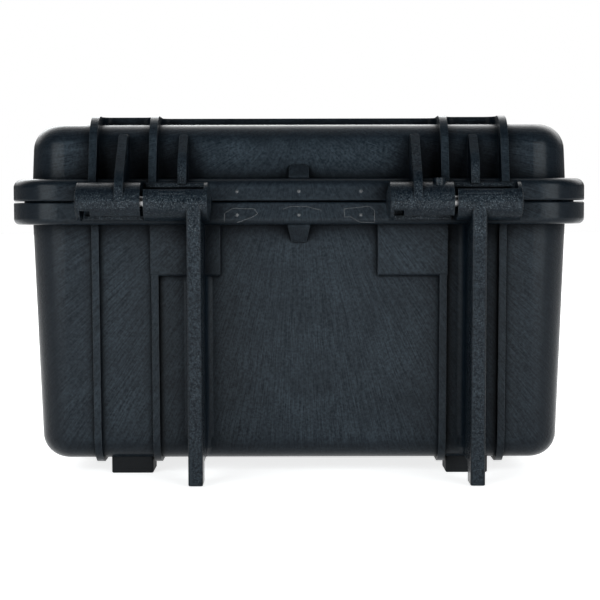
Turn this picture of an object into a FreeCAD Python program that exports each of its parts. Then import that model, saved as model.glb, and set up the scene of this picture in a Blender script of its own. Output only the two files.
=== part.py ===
"""Protective hard case: parametric source of every sub-part, in millimetres.

Frame: +X to the right seen from the front, +Y to the hinge side, +Z up, origin on the ground under the middle.
"""
import FreeCAD
import Part
import math
import os
import Sketcher

# Driving sizes of the case
SIZES = {
    "rim_width": 270.0,
    "rim_depth": 215.0,
    "rim_side_overhang": 8.0,
    "rim_end_overhang": 9.5,
    "rim_height": 10.6,
    "rim_gap": 0.6,
    "rim_radius": 24.0,
    "rim_lid_soft": 4.0,
    "rim_base_soft": 2.7,
    "rim_edge": 0.8,
    "body_y": -1.8,
    "wall": 3.4,
    "wall_radius": 18.0,
    "edge_radius": 12.0,
    "inner_radius": 8.0,
    "base_draft": 2.05,
    "lid_draft": 2.6,
    "base_height": 122.2,
    "lid_height": 36.2,
    # Ribs
    "rib_inner_x": 67.2,
    "rib_outer_x": 94.8,
    "base_rib_thick": 3.4,
    "base_rib_rise": 2.6,
    "base_rib_under": 1.9,
    "lid_rib_thick": 3.6,
    "lid_rib_rise": 3.0,
    "lid_rib_top": 3.9,
    "lid_rib_foot": 1.2,
    "rib_soft": 1.0,
    "strip_y": 76.0,
    "strip_thick": 4.0,
    "strip_drop": 0.6,
    "strip_corner": 5.0,
    # Hinges
    "hinge_offset": 9.65,
    "knuckle_radius": 8.85,
    "knuckle_inner_x": 39.4,
    "knuckle_length": 30.4,
    "knuckle_gap": 1.5,
    "knuckle_dome": 1.7,
    "knuckle_cap": 3.3,
    "base_flat": 5.5,
    "lid_flat": 6.5,
    "notch_width": 4.6,
    "notch_level": 4.2,
    "stop_x": -63.3,
    "stop_out": 12.2,
    "stop_radius": 2.9,
    "stop_rise": 10.4,
    "bar_level": 6.6,
    "bar_thick": 2.1,
    "bar_reach": 2.2,
    "pin_radius": 2.5,
    "pin_recess": 1.2,
    "pin_fit": 0.02,
    "pin_run": 0.06,
    "base_fin_left_x": -81.0,
    "base_fin_right_x": 47.2,
    "base_fin_thick": 6.7,
    "base_fin_root": 4.0,
    "base_fin_lean": 3.0,
    "base_fin_clear": 0.4,
    "base_fin_foot": 12.0,
    "base_fin_end": 0.6,
    "fin_sink": 0.05,
    "lid_fin_inner_x": 53.4,
    "lid_fin_outer_x": 80.7,
    "lid_fin_thick": 4.0,
    "lid_fin_rise": 31.0,
    "lid_fin_foot": 3.0,
    "lid_fin_bend": 17.0,
    "lid_fin_crest": 1.6,
    "lid_arm_crest": 8.0,
    "lid_fin_soft": 1.2,
    "pad_inner_x": 36.6,
    "pad_drop": 24.0,
    "pad_rise": 2.9,
    "pad_over": 0.3,
    # Centre tabs
    "lid_tab_width": 9.2,
    "lid_tab_rise": 6.2,
    "lid_tab_corner": 1.8,
    "base_tab_width": 10.2,
    "base_tab_foot": 7.0,
    "base_tab_drop": 8.2,
    # Seal
    "groove_width": 5.2,
    "groove_depth": 5.0,
    "gasket_height": 3.0,
    "gasket_fit": 0.1,
    "tongue_width": 2.0,
    "tongue_clear": 0.3,
    "seal_side": 5.8,
    "seal_end": 6.4,
    "seal_radius": 18.0,
    # Feet
    "foot_height": 7.4,
    "foot_x": 79.9,
    "foot_y": 76.5,
    "foot_width": 20.1,
    "foot_length": 18.0,
    "foot_seat": 1.2,
    "foot_fit": 0.1,
    "foot_corner": 1.0,
    "foot_soft": 0.7,
    # Latches
    "latch_drop": 36.3,
    "latch_out": 1.5,
    "latch_side_gap": 0.6,
    "latch_barrel": 5.2,
    "latch_face_gap": 0.8,
    "latch_thick": 5.6,
    "latch_hook": 2.4,
    "latch_hook_gap": 0.4,
    "latch_hook_thick": 4.2,
    "latch_lip": 4.6,
    "latch_ajar": 3.4,
    "catch_deep": 5.0,
    "catch_rise": 1.5,
    "ridge_first": 15.2,
    "ridge_pitch": 5.1,
    "ridge_soft": 0.6,
    "ear_reach": 6.0,
    "ear_foot": 18.0,
    "rod_radius": 2.0,
    "rod_fit": 0.02,
    "rod_run": 0.06,
    # Handle
    "handle_drop": 17.0,
    "handle_in": 2.0,
    "handle_arm_x": 49.0,
    "handle_arm_thick": 7.2,
    "handle_side_gap": 0.5,
    "handle_ear_thick": 4.0,
    "handle_ear_reach": 5.5,
    "handle_ear_foot": 13.2,
    "handle_ear_round": 4.9,
    "handle_thick": 9.0,
    "handle_eye": 5.2,
    "handle_hang": 46.0,
    "handle_bar": 13.0,
    "handle_corner": 12.0,
    "handle_soft": 2.4,
    "grip_half": 33.0,
    "grip_cover": 2.4,
    "grip_corner": 4.6,
    "grip_fit": 0.02,
    # Valve
    "valve_z": 38.0,
    "valve_boss": 13.0,
    "valve_boss_rise": 2.0,
    "valve_thread": 6.0,
    "valve_thread_gap": 0.3,
    "valve_flange": 10.5,
    "valve_flange_thick": 3.0,
    "valve_seat_deep": 1.9,
    "valve_ring": 0.9,
    "valve_ring_mid": 8.0,
    "valve_nut_flat": 9.0,
    "valve_nut_thick": 4.0,
    "valve_tail": 7.0,
    "valve_knob": 8.0,
    "valve_knob_tall": 6.0,
    "valve_knob_gap": 0.3,
    "valve_web": 2.4,
    "valve_web_tall": 3.6,
    "valve_stem": 2.5,
    "valve_stem_run": 0.06,
    "valve_stem_deep": 6.0,
}

document = FreeCAD.newDocument("HardCase")
sheet = document.addObject("Spreadsheet::Sheet", "Sizes")
for row, (alias, size) in enumerate(SIZES.items(), start=1):
    sheet.set(f"A{row}", alias)
    sheet.set(f"B{row}", str(size))
    sheet.setAlias(f"B{row}", alias)
document.recompute()


def s(text: str) -> str:
    """Write an expression with every driving size named by its cell.

    Args:
        text: Formula in which a size is written as its alias after a dollar sign.

    Returns:
        The same formula with the sheet's name in front of each alias.
    """
    return text.replace("$", "Sizes.")


def number(text: str) -> float:
    """Work out an expression's present value.

    Args:
        text: Formula in the notation of s.

    Returns:
        The value in millimetres or degrees.
    """
    return float(sheet.evalExpression(s(text)))


# Levels and planes that several sub-parts share
PART_Z = "($foot_height + $base_height)"
BASE_TOP = f"({PART_Z} - $rim_gap / 2)"
LID_LOW = f"({PART_Z} + $rim_gap / 2)"
BASE_RIM_LOW = f"({PART_Z} - $rim_height)"
LID_RIM_TOP = f"({PART_Z} + $rim_height)"
LID_TOP = f"({PART_Z} + $lid_height)"
HALF_W = "($rim_width / 2 - $rim_side_overhang)"
HALF_D = "($rim_depth / 2 - $rim_end_overhang)"
REAR_RIM = "($body_y + $rim_depth / 2)"
FRONT_RIM = "($body_y - $rim_depth / 2)"
REAR_WALL = f"($body_y + {HALF_D})"
HINGE_Y = f"({REAR_RIM} + $hinge_offset)"
LATCH_X = "(($rib_inner_x + $rib_outer_x) / 2)"
LATCH_Y = f"({FRONT_RIM} - $latch_out)"
LATCH_Z = f"({PART_Z} - $latch_drop)"
HANDLE_Y = f"({FRONT_RIM} + $handle_in)"
HANDLE_Z = f"({PART_Z} - $handle_drop)"
# How far a form sinks into the one it stands on, and how far a cut runs past the material
EMBED = "2.0"
PAST = "1.0"


def base_wall(z: str, side: int) -> str:
    """Give the base wall's outer Y at a height.

    Args:
        z: Height formula.
        side: 1 for the hinge side, -1 for the front.

    Returns:
        Formula of the Y coordinate on the drafted wall.
    """
    sign = "+" if side > 0 else "-"
    return f"($body_y {sign} ({HALF_D} - ({BASE_TOP} - {z}) * tan($base_draft)))"


def lid_wall(z: str, side: int) -> str:
    """Give the lid wall's outer Y at a height.

    Args:
        z: Height formula.
        side: 1 for the hinge side, -1 for the front.

    Returns:
        Formula of the Y coordinate on the drafted wall.
    """
    sign = "+" if side > 0 else "-"
    return f"($body_y {sign} ({HALF_D} - ({z} - {LID_LOW}) * tan($lid_draft)))"


def new_body(label: str):
    """Add an empty body that becomes one node.

    Args:
        label: Node name.

    Returns:
        The body.
    """
    body = document.addObject("PartDesign::Body", label)
    body.Label = label
    return body


def sketch_on(body, name: str, plane: str, offset: str):
    """Add a sketch on one of a body's own origin planes.

    Args:
        body: Body that gets the sketch.
        name: Sketch name.
        plane: XY, XZ or YZ.
        offset: Formula of the distance along the plane's normal (+Z, -Y, +X).

    Returns:
        The empty sketch.
    """
    sketch = body.newObject("Sketcher::SketchObject", name)
    support = next(f for f in body.Origin.OriginFeatures if f.Role == f"{plane}_Plane")
    sketch.AttachmentSupport = (support, [""])
    sketch.MapMode = "FlatFace"
    sketch.setExpression("AttachmentOffset.Base.z", s(offset))
    return sketch


def pin_point(sketch, geometry: int, place: int, x: str, y: str) -> None:
    """Bind one point of a sketch to two formulas.

    Args:
        sketch: Sketch that holds the point.
        geometry: Geometry number.
        place: Point of the geometry, 1 start, 3 centre.
        x: Formula of the sketch X.
        y: Formula of the sketch Y.
    """
    for kind, formula in (("DistanceX", x), ("DistanceY", y)):
        rule = Sketcher.Constraint(kind, -1, 1, geometry, place, number(formula))
        sketch.setExpression(f"Constraints[{sketch.addConstraint(rule)}]", s(formula))


def circle(sketch, x: str, y: str, radius: str) -> None:
    """Draw a circle bound to formulas.

    Args:
        sketch: Sketch to draw in.
        x: Formula of the centre's X.
        y: Formula of the centre's Y.
        radius: Formula of the radius.
    """
    middle = FreeCAD.Vector(number(x), number(y), 0)
    drawn = sketch.addGeometry(Part.Circle(middle, FreeCAD.Vector(0, 0, 1), number(radius)), False)
    pin_point(sketch, drawn, 3, x, y)
    rule = sketch.addConstraint(Sketcher.Constraint("Radius", drawn, number(radius)))
    sketch.setExpression(f"Constraints[{rule}]", s(radius))


def corner_arc(before, at, after, radius: float):
    """Find the arc that rounds a corner.

    Args:
        before: Corner before.
        at: Corner that is rounded.
        after: Corner after.
        radius: Arc radius.

    Returns:
        Tangent point on the way in, the arc, tangent point on the way out, and the arc's end numbers
        on the way in and out.
    """
    way_in = (before - at).normalize()
    way_out = (after - at).normalize()
    half = way_in.getAngle(way_out) / 2
    reach = radius / math.tan(half)
    first = at + way_in * reach
    last = at + way_out * reach
    middle = at + (way_in + way_out).normalize() * (radius / math.sin(half))
    turns_left = way_in.cross(way_out).z < 0
    start, end = (first, last) if turns_left else (last, first)
    angles = [math.atan2(p.y - middle.y, p.x - middle.x) for p in (start, end)]
    if angles[1] < angles[0]:
        angles[1] += 2 * math.pi
    arc = Part.ArcOfCircle(Part.Circle(middle, FreeCAD.Vector(0, 0, 1), radius), *angles)
    ends = (1, 2) if turns_left else (2, 1)
    return first, arc, last, ends


def outline(sketch, corners) -> None:
    """Draw a closed outline of straight sides with sharp or rounded corners, bound to formulas.

    Args:
        sketch: Sketch to draw in.
        corners: (x, y) or (x, y, radius) formulas in order around the outline.
    """
    places = [FreeCAD.Vector(number(c[0]), number(c[1]), 0) for c in corners]
    count = len(places)
    rounds = {}
    for i, corner in enumerate(corners):
        if len(corner) == 3:
            rounds[i] = corner_arc(places[i - 1], places[i], places[(i + 1) % count], number(corner[2]))
    sides = []
    for i in range(count):
        after = (i + 1) % count
        start = rounds[i][2] if i in rounds else places[i]
        end = rounds[after][0] if after in rounds else places[after]
        sides.append(sketch.addGeometry(Part.LineSegment(start, end), False))
    for i, corner in enumerate(corners):
        side_in, side_out = sides[i - 1], sides[i]
        if i not in rounds:
            sketch.addConstraint(Sketcher.Constraint("Coincident", side_in, 2, side_out, 1))
            pin_point(sketch, side_out, 1, corner[0], corner[1])
            continue
        _, arc, _, (end_in, end_out) = rounds[i]
        drawn = sketch.addGeometry(arc, False)
        sketch.addConstraint(Sketcher.Constraint("Tangent", side_in, 2, drawn, end_in))
        sketch.addConstraint(Sketcher.Constraint("Tangent", drawn, end_out, side_out, 1))
        rule = sketch.addConstraint(Sketcher.Constraint("Radius", drawn, number(corner[2])))
        sketch.setExpression(f"Constraints[{rule}]", s(corner[2]))
        tip = sketch.addGeometry(Part.Point(places[i]), True)
        pin_point(sketch, tip, 1, corner[0], corner[1])
        sketch.addConstraint(Sketcher.Constraint("PointOnObject", tip, 1, side_in))
        sketch.addConstraint(Sketcher.Constraint("PointOnObject", tip, 1, side_out))


def box_corners(x0: str, y0: str, x1: str, y1: str, radius: str = ""):
    """List the corners of a rectangle.

    Args:
        x0: Formula of the low X.
        y0: Formula of the low Y.
        x1: Formula of the high X.
        y1: Formula of the high Y.
        radius: Formula of the corner radius, empty for sharp corners.

    Returns:
        Corners for outline.
    """
    plain = [(x0, y0), (x1, y0), (x1, y1), (x0, y1)]
    return [(*c, radius) for c in plain] if radius else plain


def plan_corners(half_x: str, half_y: str, radius: str):
    """List the corners of a rounded rectangle around the case's middle.

    Args:
        half_x: Formula of half the width.
        half_y: Formula of half the depth.
        radius: Formula of the corner radius.

    Returns:
        Corners for outline in a plan sketch.
    """
    return box_corners(f"-{half_x}", f"$body_y - {half_y}", half_x, f"$body_y + {half_y}", radius)


def extrude(body, kind: str, sketch, length: str, reverse: bool = False, taper: str = ""):
    """Add a pad or a pocket.

    Args:
        body: Body that gets the feature.
        kind: Pad or Pocket.
        sketch: Closed profile.
        length: Formula of the length.
        reverse: Turns the direction round.
        taper: Formula of the taper angle, empty for straight sides.

    Returns:
        The feature.
    """
    feature = body.newObject(f"PartDesign::{kind}", f"{sketch.Name}_{kind.lower()}")
    feature.Profile = sketch
    feature.setExpression("Length", s(length))
    feature.Reversed = reverse
    if taper:
        feature.setExpression("TaperAngle", s(taper))
    document.recompute()
    return feature


def slab(body, name: str, plane: str, low: str, thick: str, corners, kind: str = "Pad"):
    """Add a plate drawn on an origin plane, from a low level along the axis that crosses the plane.

    Args:
        body: Body that gets the plate.
        name: Sketch name.
        plane: XY, XZ or YZ.
        low: Formula of the plate's lower level on the crossing axis.
        thick: Formula of the thickness.
        corners: Corners for outline.
        kind: Pad or Pocket.

    Returns:
        The feature.
    """
    offset = f"-({low} + {thick})" if plane == "XZ" else low
    sketch = sketch_on(body, name, plane, offset)
    outline(sketch, corners)
    return extrude(body, kind, sketch, thick, reverse=kind == "Pocket")


def rod(body, name: str, plane: str, low: str, long: str, x: str, y: str, radius: str, kind: str = "Pad"):
    """Add or cut a round bar that crosses an origin plane.

    Args:
        body: Body that gets the feature.
        name: Sketch name.
        plane: XY, XZ or YZ.
        low: Formula of the bar's lower end on the crossing axis.
        long: Formula of the length.
        x: Formula of the centre's sketch X.
        y: Formula of the centre's sketch Y.
        radius: Formula of the radius.
        kind: Pad or Pocket.

    Returns:
        The feature.
    """
    offset = f"-({low} + {long})" if plane == "XZ" else low
    sketch = sketch_on(body, name, plane, offset)
    circle(sketch, x, y, radius)
    return extrude(body, kind, sketch, long, reverse=kind == "Pocket")


def soften(body, name: str, radius: str, chosen):
    """Round edges of a body's last feature.

    Args:
        body: Body that gets the fillet.
        name: Fillet name.
        radius: Formula of the radius.
        chosen: Function that says whether an edge is rounded.

    Returns:
        The fillet.
    """
    before = body.Tip
    edges = [f"Edge{i}" for i, edge in enumerate(before.Shape.Edges, start=1) if chosen(edge)]
    fillet = body.newObject("PartDesign::Fillet", name)
    fillet.Base = (before, edges)
    fillet.setExpression("Radius", s(radius))
    document.recompute()
    return fillet


def near(value: float, aim: float, slack: float = 0.01) -> bool:
    """Say whether two lengths agree.

    Args:
        value: Measured length.
        aim: Wanted length.
        slack: Largest difference.

    Returns:
        True when they agree.
    """
    return abs(value - aim) < slack


def flat_at(edge, z: float) -> bool:
    """Say whether an edge lies at one height.

    Args:
        edge: Edge to look at.
        z: Height.

    Returns:
        True when the whole edge lies there.
    """
    return near(edge.BoundBox.ZMin, z) and near(edge.BoundBox.ZMax, z)


def outside(edge, half_x: str, half_y: str) -> bool:
    """Say whether an edge lies on or beyond a plan rectangle.

    Args:
        edge: Edge to look at.
        half_x: Formula of half the rectangle's width.
        half_y: Formula of half its depth.

    Returns:
        True when the edge's middle isn't inside the rectangle shrunk by a millimetre.
    """
    middle = edge.valueAt((edge.FirstParameter + edge.LastParameter) / 2)
    in_x = abs(middle.x) < number(f"({half_x} - {PAST})")
    in_y = abs(middle.y - number("$body_y")) < number(f"({half_y} - {PAST})")
    return not (in_x and in_y)


def knuckle(body, name: str, low: str, dome_high: bool, web_low: str, web_high: str) -> None:
    """Add a hinge knuckle with one domed end, and the web that joins it to the rim.

    Args:
        body: Shell that gets the knuckle.
        name: Sketch name.
        low: Formula of the low X end.
        dome_high: True when the domed end is the high X end.
        web_low: Formula of the web's lower level.
        web_high: Formula of the web's upper level.
    """
    high = f"({low} + $knuckle_length)"
    tip, flat, way = (high, low, "-") if dome_high else (low, high, "+")
    ball = "(($knuckle_radius ^ 2 + $knuckle_dome ^ 2) / (2 * $knuckle_dome))"
    sketch = sketch_on(body, name, "XY", PART_Z)
    edge_x = f"({tip} {way} $knuckle_dome)"
    edge_y = f"({HINGE_Y} + $knuckle_radius)"
    places = [(flat, HINGE_Y), (flat, edge_y), (edge_x, edge_y), (tip, HINGE_Y)]
    dots = [FreeCAD.Vector(number(x), number(y), 0) for x, y in places]
    sides = [
        sketch.addGeometry(Part.LineSegment(dots[a], dots[b]), False) for a, b in ((3, 0), (0, 1), (1, 2))
    ]
    middle_x = f"({tip} {way} {ball})"
    middle = FreeCAD.Vector(number(middle_x), number(HINGE_Y), 0)
    rise = math.atan2(dots[2].y - middle.y, dots[2].x - middle.x)
    ring = Part.Circle(middle, FreeCAD.Vector(0, 0, 1), number(ball))
    span = (0.0, rise) if dome_high else (rise, math.pi)
    dome = sketch.addGeometry(Part.ArcOfCircle(ring, *span), False)
    foot, crown = (1, 2) if dome_high else (2, 1)
    for side, place in zip((sides[1], sides[2]), (places[0], places[1])):
        pin_point(sketch, side, 1, *place)
    pin_point(sketch, sides[0], 1, *places[3])
    pin_point(sketch, dome, crown, *places[2])
    sketch.addConstraint(Sketcher.Constraint("Coincident", sides[0], 2, sides[1], 1))
    sketch.addConstraint(Sketcher.Constraint("Coincident", sides[1], 2, sides[2], 1))
    sketch.addConstraint(Sketcher.Constraint("Coincident", sides[2], 2, dome, crown))
    sketch.addConstraint(Sketcher.Constraint("Coincident", dome, foot, sides[0], 1))
    sketch.addConstraint(Sketcher.Constraint("PointOnObject", dome, 3, sides[0]))
    barrel = body.newObject("PartDesign::Revolution", f"{name}_barrel")
    barrel.Profile = sketch
    barrel.ReferenceAxis = (sketch, [f"Edge{sides[0] + 1}"])
    barrel.Angle = 360.0
    document.recompute()
    web_x = low if dome_high else f"({low} + $knuckle_dome)"
    slab(
        body, f"{name}_web", "YZ", web_x, "($knuckle_length - $knuckle_dome)",
        box_corners(f"({REAR_RIM} - {EMBED})", web_low, HINGE_Y, web_high),
    )


def pin_bore(body, name: str, clearance: str) -> None:
    """Bore all knuckles of a shell for their pins.

    Args:
        body: Shell that gets the bore.
        name: Sketch name.
        clearance: Formula of the clearance around the pin.
    """
    end = f"({OUTER_X} + $knuckle_length + {EMBED})"
    radius = f"($pin_radius + {clearance})"
    rod(body, name, "YZ", f"-{end}", f"(2 * {end})", HINGE_Y, PART_Z, radius, "Pocket")


def knuckle_flat(body, name: str, low: str, cap_high: bool, flat: str) -> None:
    """Cut the flat on a knuckle that faces the other shell's guard bar, short of the end cap.

    Args:
        body: Shell that gets the cut.
        name: Sketch name.
        low: Formula of the knuckle's low X end.
        cap_high: True when the end cap is at the high X end, where the flat faces down.
        flat: Formula of the flat's distance from the axis.
    """
    sign = "-" if cap_high else "+"
    start = f"({low} - {EMBED})" if cap_high else f"({low} + $knuckle_cap)"
    reach = f"($knuckle_length - $knuckle_cap + {EMBED})"
    level = f"({PART_Z} {sign} {flat})"
    far = f"({PART_Z} {sign} ($knuckle_radius + {PAST}))"
    edge = f"({PART_Z} {sign} {flat} / 2)"
    front = f"({HINGE_Y} + sqrt($knuckle_radius ^ 2 - ({flat} / 2) ^ 2))"
    bend = f"({HINGE_Y} + sqrt($knuckle_radius ^ 2 - {flat} ^ 2))"
    corners = [
        (f"({HINGE_Y} - $knuckle_radius)", far),
        (f"({HINGE_Y} - $knuckle_radius)", level),
        (bend, level),
        (front, edge),
        (f"({front} + {PAST})", edge),
        (f"({front} + {PAST})", far),
    ]
    slab(body, name, "YZ", start, reach, corners[::-1] if cap_high else corners, "Pocket")


def knuckle_notch(body, name: str, low: str) -> None:
    """Cut the notch under a lid knuckle, beside its end cap.

    Args:
        body: Lid body.
        name: Sketch name.
        low: Formula of the knuckle's low X end.
    """
    start = f"({low} + $knuckle_length - $knuckle_cap - $notch_width)"
    corners = box_corners(
        f"({HINGE_Y} - $knuckle_radius)", f"({PART_Z} - $knuckle_radius - {EMBED})",
        f"({HINGE_Y} + $knuckle_radius + {EMBED})", f"({PART_Z} - $notch_level)",
    )
    slab(body, name, "YZ", start, "$notch_width", corners, "Pocket")


def guard_bar(body, name: str, low: str, cap_high: bool, up: bool) -> None:
    """Add the bar on a rim that covers the gap to the other shell's knuckle.

    Args:
        body: Shell that gets the bar.
        name: Sketch name.
        low: Formula of the low X end of the knuckle that it covers.
        cap_high: True when that knuckle's end cap is at the high X end.
        up: True for a bar on the lid's rim.
    """
    sign = "+" if up else "-"
    start = low if cap_high else f"({low} + $knuckle_cap)"
    inner = f"({PART_Z} {sign} $bar_level)"
    outer = f"({PART_Z} {sign} ($bar_level + $bar_thick))"
    corners = [
        (f"({REAR_RIM} - {EMBED})", inner),
        (f"({REAR_RIM} + $bar_reach)", inner),
        (f"({REAR_RIM} + $bar_reach)", outer, "$rim_edge"),
        (f"({REAR_RIM} - {EMBED})", outer),
    ]
    slab(body, name, "YZ", start, "($knuckle_length - $knuckle_cap)", corners if up else corners[::-1])


# Heights of a base fin's lower sections, as shares of the bottom edge's radius
FIN_SHARES = (1.0, 0.5, 0.2)
# Low X ends of the knuckles: each hinge has one base half and one lid half, side by side
OUTER_X = "($knuckle_inner_x + $knuckle_length + $knuckle_gap)"
BASE_KNUCKLES = {"left": f"(-{OUTER_X} - $knuckle_length)", "right": "$knuckle_inner_x"}
LID_KNUCKLES = {"left": "(-$knuckle_inner_x - $knuckle_length)", "right": OUTER_X}
# Outer X of the pads, which swallow the inner ribs' upper ends
PAD_OUTER_X = "($rib_inner_x + $base_rib_thick / 2 + $pad_over)"
RIB_XS = {
    "left_outer": "-$rib_outer_x",
    "left_inner": "-$rib_inner_x",
    "right_inner": "$rib_inner_x",
    "right_outer": "$rib_outer_x",
}


def base_rib(body, name: str, x: str) -> None:
    """Add a rib that runs down the hinge side, under the bottom and up the front.

    Args:
        body: Base body.
        name: Rib name.
        x: Formula of the rib's middle X.
    """
    high = f"({BASE_RIM_LOW} + {EMBED})"
    low = "($foot_height - $base_rib_under)"
    rise = "$base_rib_rise"
    corner = "($edge_radius + $base_rib_under)"
    slab(
        body, f"base_rib_{name}", "YZ", f"({x} - $base_rib_thick / 2)", "$base_rib_thick",
        [
            (f"({base_wall(high, -1)} - {rise})", high),
            (f"({base_wall(low, -1)} - {rise})", low, corner),
            (f"({base_wall(low, 1)} + {rise})", low, corner),
            (f"({base_wall(high, 1)} + {rise})", high),
        ],
    )


def base_pad(body, name: str, x: str) -> None:
    """Add the raised pad below the rim beside a hinge.

    Args:
        body: Base body.
        name: Pad name.
        x: Formula of the pad's low X.
    """
    high = f"({BASE_RIM_LOW} + {EMBED})"
    low = f"({BASE_RIM_LOW} - $pad_drop)"
    inside = f"({base_wall(low, 1)} - {EMBED})"
    slab(
        body, f"base_pad_{name}", "YZ", x, f"({PAD_OUTER_X} - $pad_inner_x)",
        [
            (inside, high),
            (inside, low),
            (f"({base_wall(low, 1)} + $pad_rise)", low, "$pad_rise / 2"),
            (f"({base_wall(high, 1)} + $pad_rise)", high),
        ],
    )


def fin_plan(body, name: str, x: str, z: str, front: str, inset: str = "0"):
    """Draw a hinge fin's plan at one height, flared into the wall.

    Args:
        body: Base body.
        name: Sketch name.
        x: Formula of the fin's middle X.
        z: Formula of the height.
        front: Formula of the fin's outer Y at that height.
        inset: Formula of how far the bottom edge's rounding has drawn the wall in there.

    Returns:
        The sketch.
    """
    half = "$base_fin_thick / 2"
    wide = f"({half} + $base_fin_root + $rim_edge)"
    skin = f"({base_wall(z, 1)} - $fin_sink - {inset})"
    deep = f"({skin} - {EMBED})"
    sketch = sketch_on(body, name, "XY", z)
    outline(
        sketch,
        [
            (f"({x} - {wide})", deep),
            (f"({x} + {wide})", deep),
            (f"({x} + {wide})", skin),
            (f"({x} + {half})", skin, "$base_fin_root"),
            (f"({x} + {half})", front, "$rib_soft"),
            (f"({x} - {half})", front, "$rib_soft"),
            (f"({x} - {half})", skin, "$base_fin_root"),
            (f"({x} - {wide})", skin),
        ],
    )
    return sketch


def base_fin(body, name: str, x: str) -> None:
    """Add the long fin that runs from a base knuckle down to the ground.

    Args:
        body: Base body.
        name: Fin name.
        x: Formula of the fin's middle X.
    """
    top = PART_Z
    front_top = f"({HINGE_Y} + $knuckle_radius)"
    front_turn = f"({front_top} - $base_fin_lean)"
    upper = fin_plan(body, f"base_fin_{name}_upper", x, top, front_top)
    sections = []
    for share in FIN_SHARES:
        level = f"($foot_height + $edge_radius * {share})"
        inset = f"($edge_radius * (1 - sqrt(1 - (1 - {share}) ^ 2)))"
        sections.append(fin_plan(body, f"base_fin_{name}_{len(sections)}", x, level, front_turn, inset))
    loft = body.newObject("PartDesign::AdditiveLoft", f"base_fin_{name}")
    loft.Profile = upper
    loft.Sections = sections
    loft.Ruled = True
    document.recompute()
    half = "$base_fin_thick / 2"
    back = f"({front_turn} - $base_fin_foot)"
    tall = "($foot_height + $edge_radius - $base_fin_clear)"
    slab(
        body, f"base_fin_{name}_foot", "XY", "$base_fin_clear", tall,
        [
            (f"({x} - {half})", back),
            (f"({x} + {half})", back),
            (f"({x} + {half})", front_turn, "$rib_soft"),
            (f"({x} - {half})", front_turn, "$rib_soft"),
        ],
    )


def base_ear(body, name: str, x: str) -> None:
    """Thicken a front rib into the ear that carries a latch pin.

    Args:
        body: Base body.
        name: Ear name.
        x: Formula of the ear's middle X.
    """
    reach = "$ear_reach"
    top = f"({BASE_RIM_LOW} + {EMBED} / 2)"
    foot = f"({LATCH_Z} - $ear_foot)"
    slab(
        body, f"base_ear_{name}", "YZ", f"({x} - $base_rib_thick / 2)", "$base_rib_thick",
        [
            (f"({base_wall(foot, -1)} + {EMBED})", foot),
            (f"({base_wall(foot, -1)} + {EMBED})", top),
            (f"({FRONT_RIM} + {EMBED})", top),
            (f"({LATCH_Y} - {reach})", f"({LATCH_Z} + {reach})", reach),
            (f"({LATCH_Y} - {reach})", f"({LATCH_Z} - {reach})", reach),
            (f"({base_wall(foot, -1)} - $base_rib_rise / 2)", foot),
        ],
    )


def handle_ear(body, name: str, x: str) -> None:
    """Add an ear that carries an end of a handle pin.

    Args:
        body: Base body.
        name: Ear name.
        x: Formula of the ear's low X.
    """
    reach = "$handle_ear_reach"
    top = f"({BASE_RIM_LOW} + {EMBED} / 2)"
    foot = f"({HANDLE_Z} - $handle_ear_foot)"
    slab(
        body, f"handle_ear_{name}", "YZ", x, "$handle_ear_thick",
        [
            (f"({base_wall(foot, -1)} + {EMBED})", foot),
            (f"({base_wall(foot, -1)} + {EMBED})", top),
            (f"({FRONT_RIM} + {EMBED} / 2)", top),
            (f"({HANDLE_Y} - {reach})", f"({HANDLE_Z} + {reach} / 2)", f"{reach} / 2"),
            (f"({HANDLE_Y} - {reach})", f"({HANDLE_Z} - {reach})", "$handle_ear_round"),
        ],
    )


def base_tab(body) -> None:
    """Add the tapered tab below the middle of the hinge-side rim.

    Args:
        body: Base body.
    """
    levels = {
        "low": (f"({BASE_RIM_LOW} - $base_tab_drop)", "$base_tab_foot"),
        "high": (f"({BASE_RIM_LOW} - $rib_soft)", "$base_tab_width"),
    }
    plans = []
    for name, (z, wide) in levels.items():
        inside = f"({base_wall(z, 1)} - {EMBED})"
        front = f"({base_wall(z, 1)} + $rib_soft)" if name == "low" else f"({REAR_RIM} - $rim_base_soft)"
        plan = sketch_on(body, f"base_tab_{name}", "XY", z)
        outline(plan, box_corners(f"(-{wide} / 2)", inside, f"({wide} / 2)", front))
        plans.append(plan)
    loft = body.newObject("PartDesign::AdditiveLoft", "base_tab")
    loft.Profile = plans[0]
    loft.Sections = plans[1:]
    loft.Ruled = True
    document.recompute()
    wide, z = "$base_tab_width", f"({BASE_RIM_LOW} - $rib_soft)"
    outer = f"({REAR_RIM} - $rim_base_soft)"
    slab(
        body, "base_tab_root", "XY", z, f"($rib_soft + {EMBED})",
        box_corners(f"(-{wide} / 2)", f"({REAR_WALL} - {EMBED})", f"({wide} / 2)", outer),
    )


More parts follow.
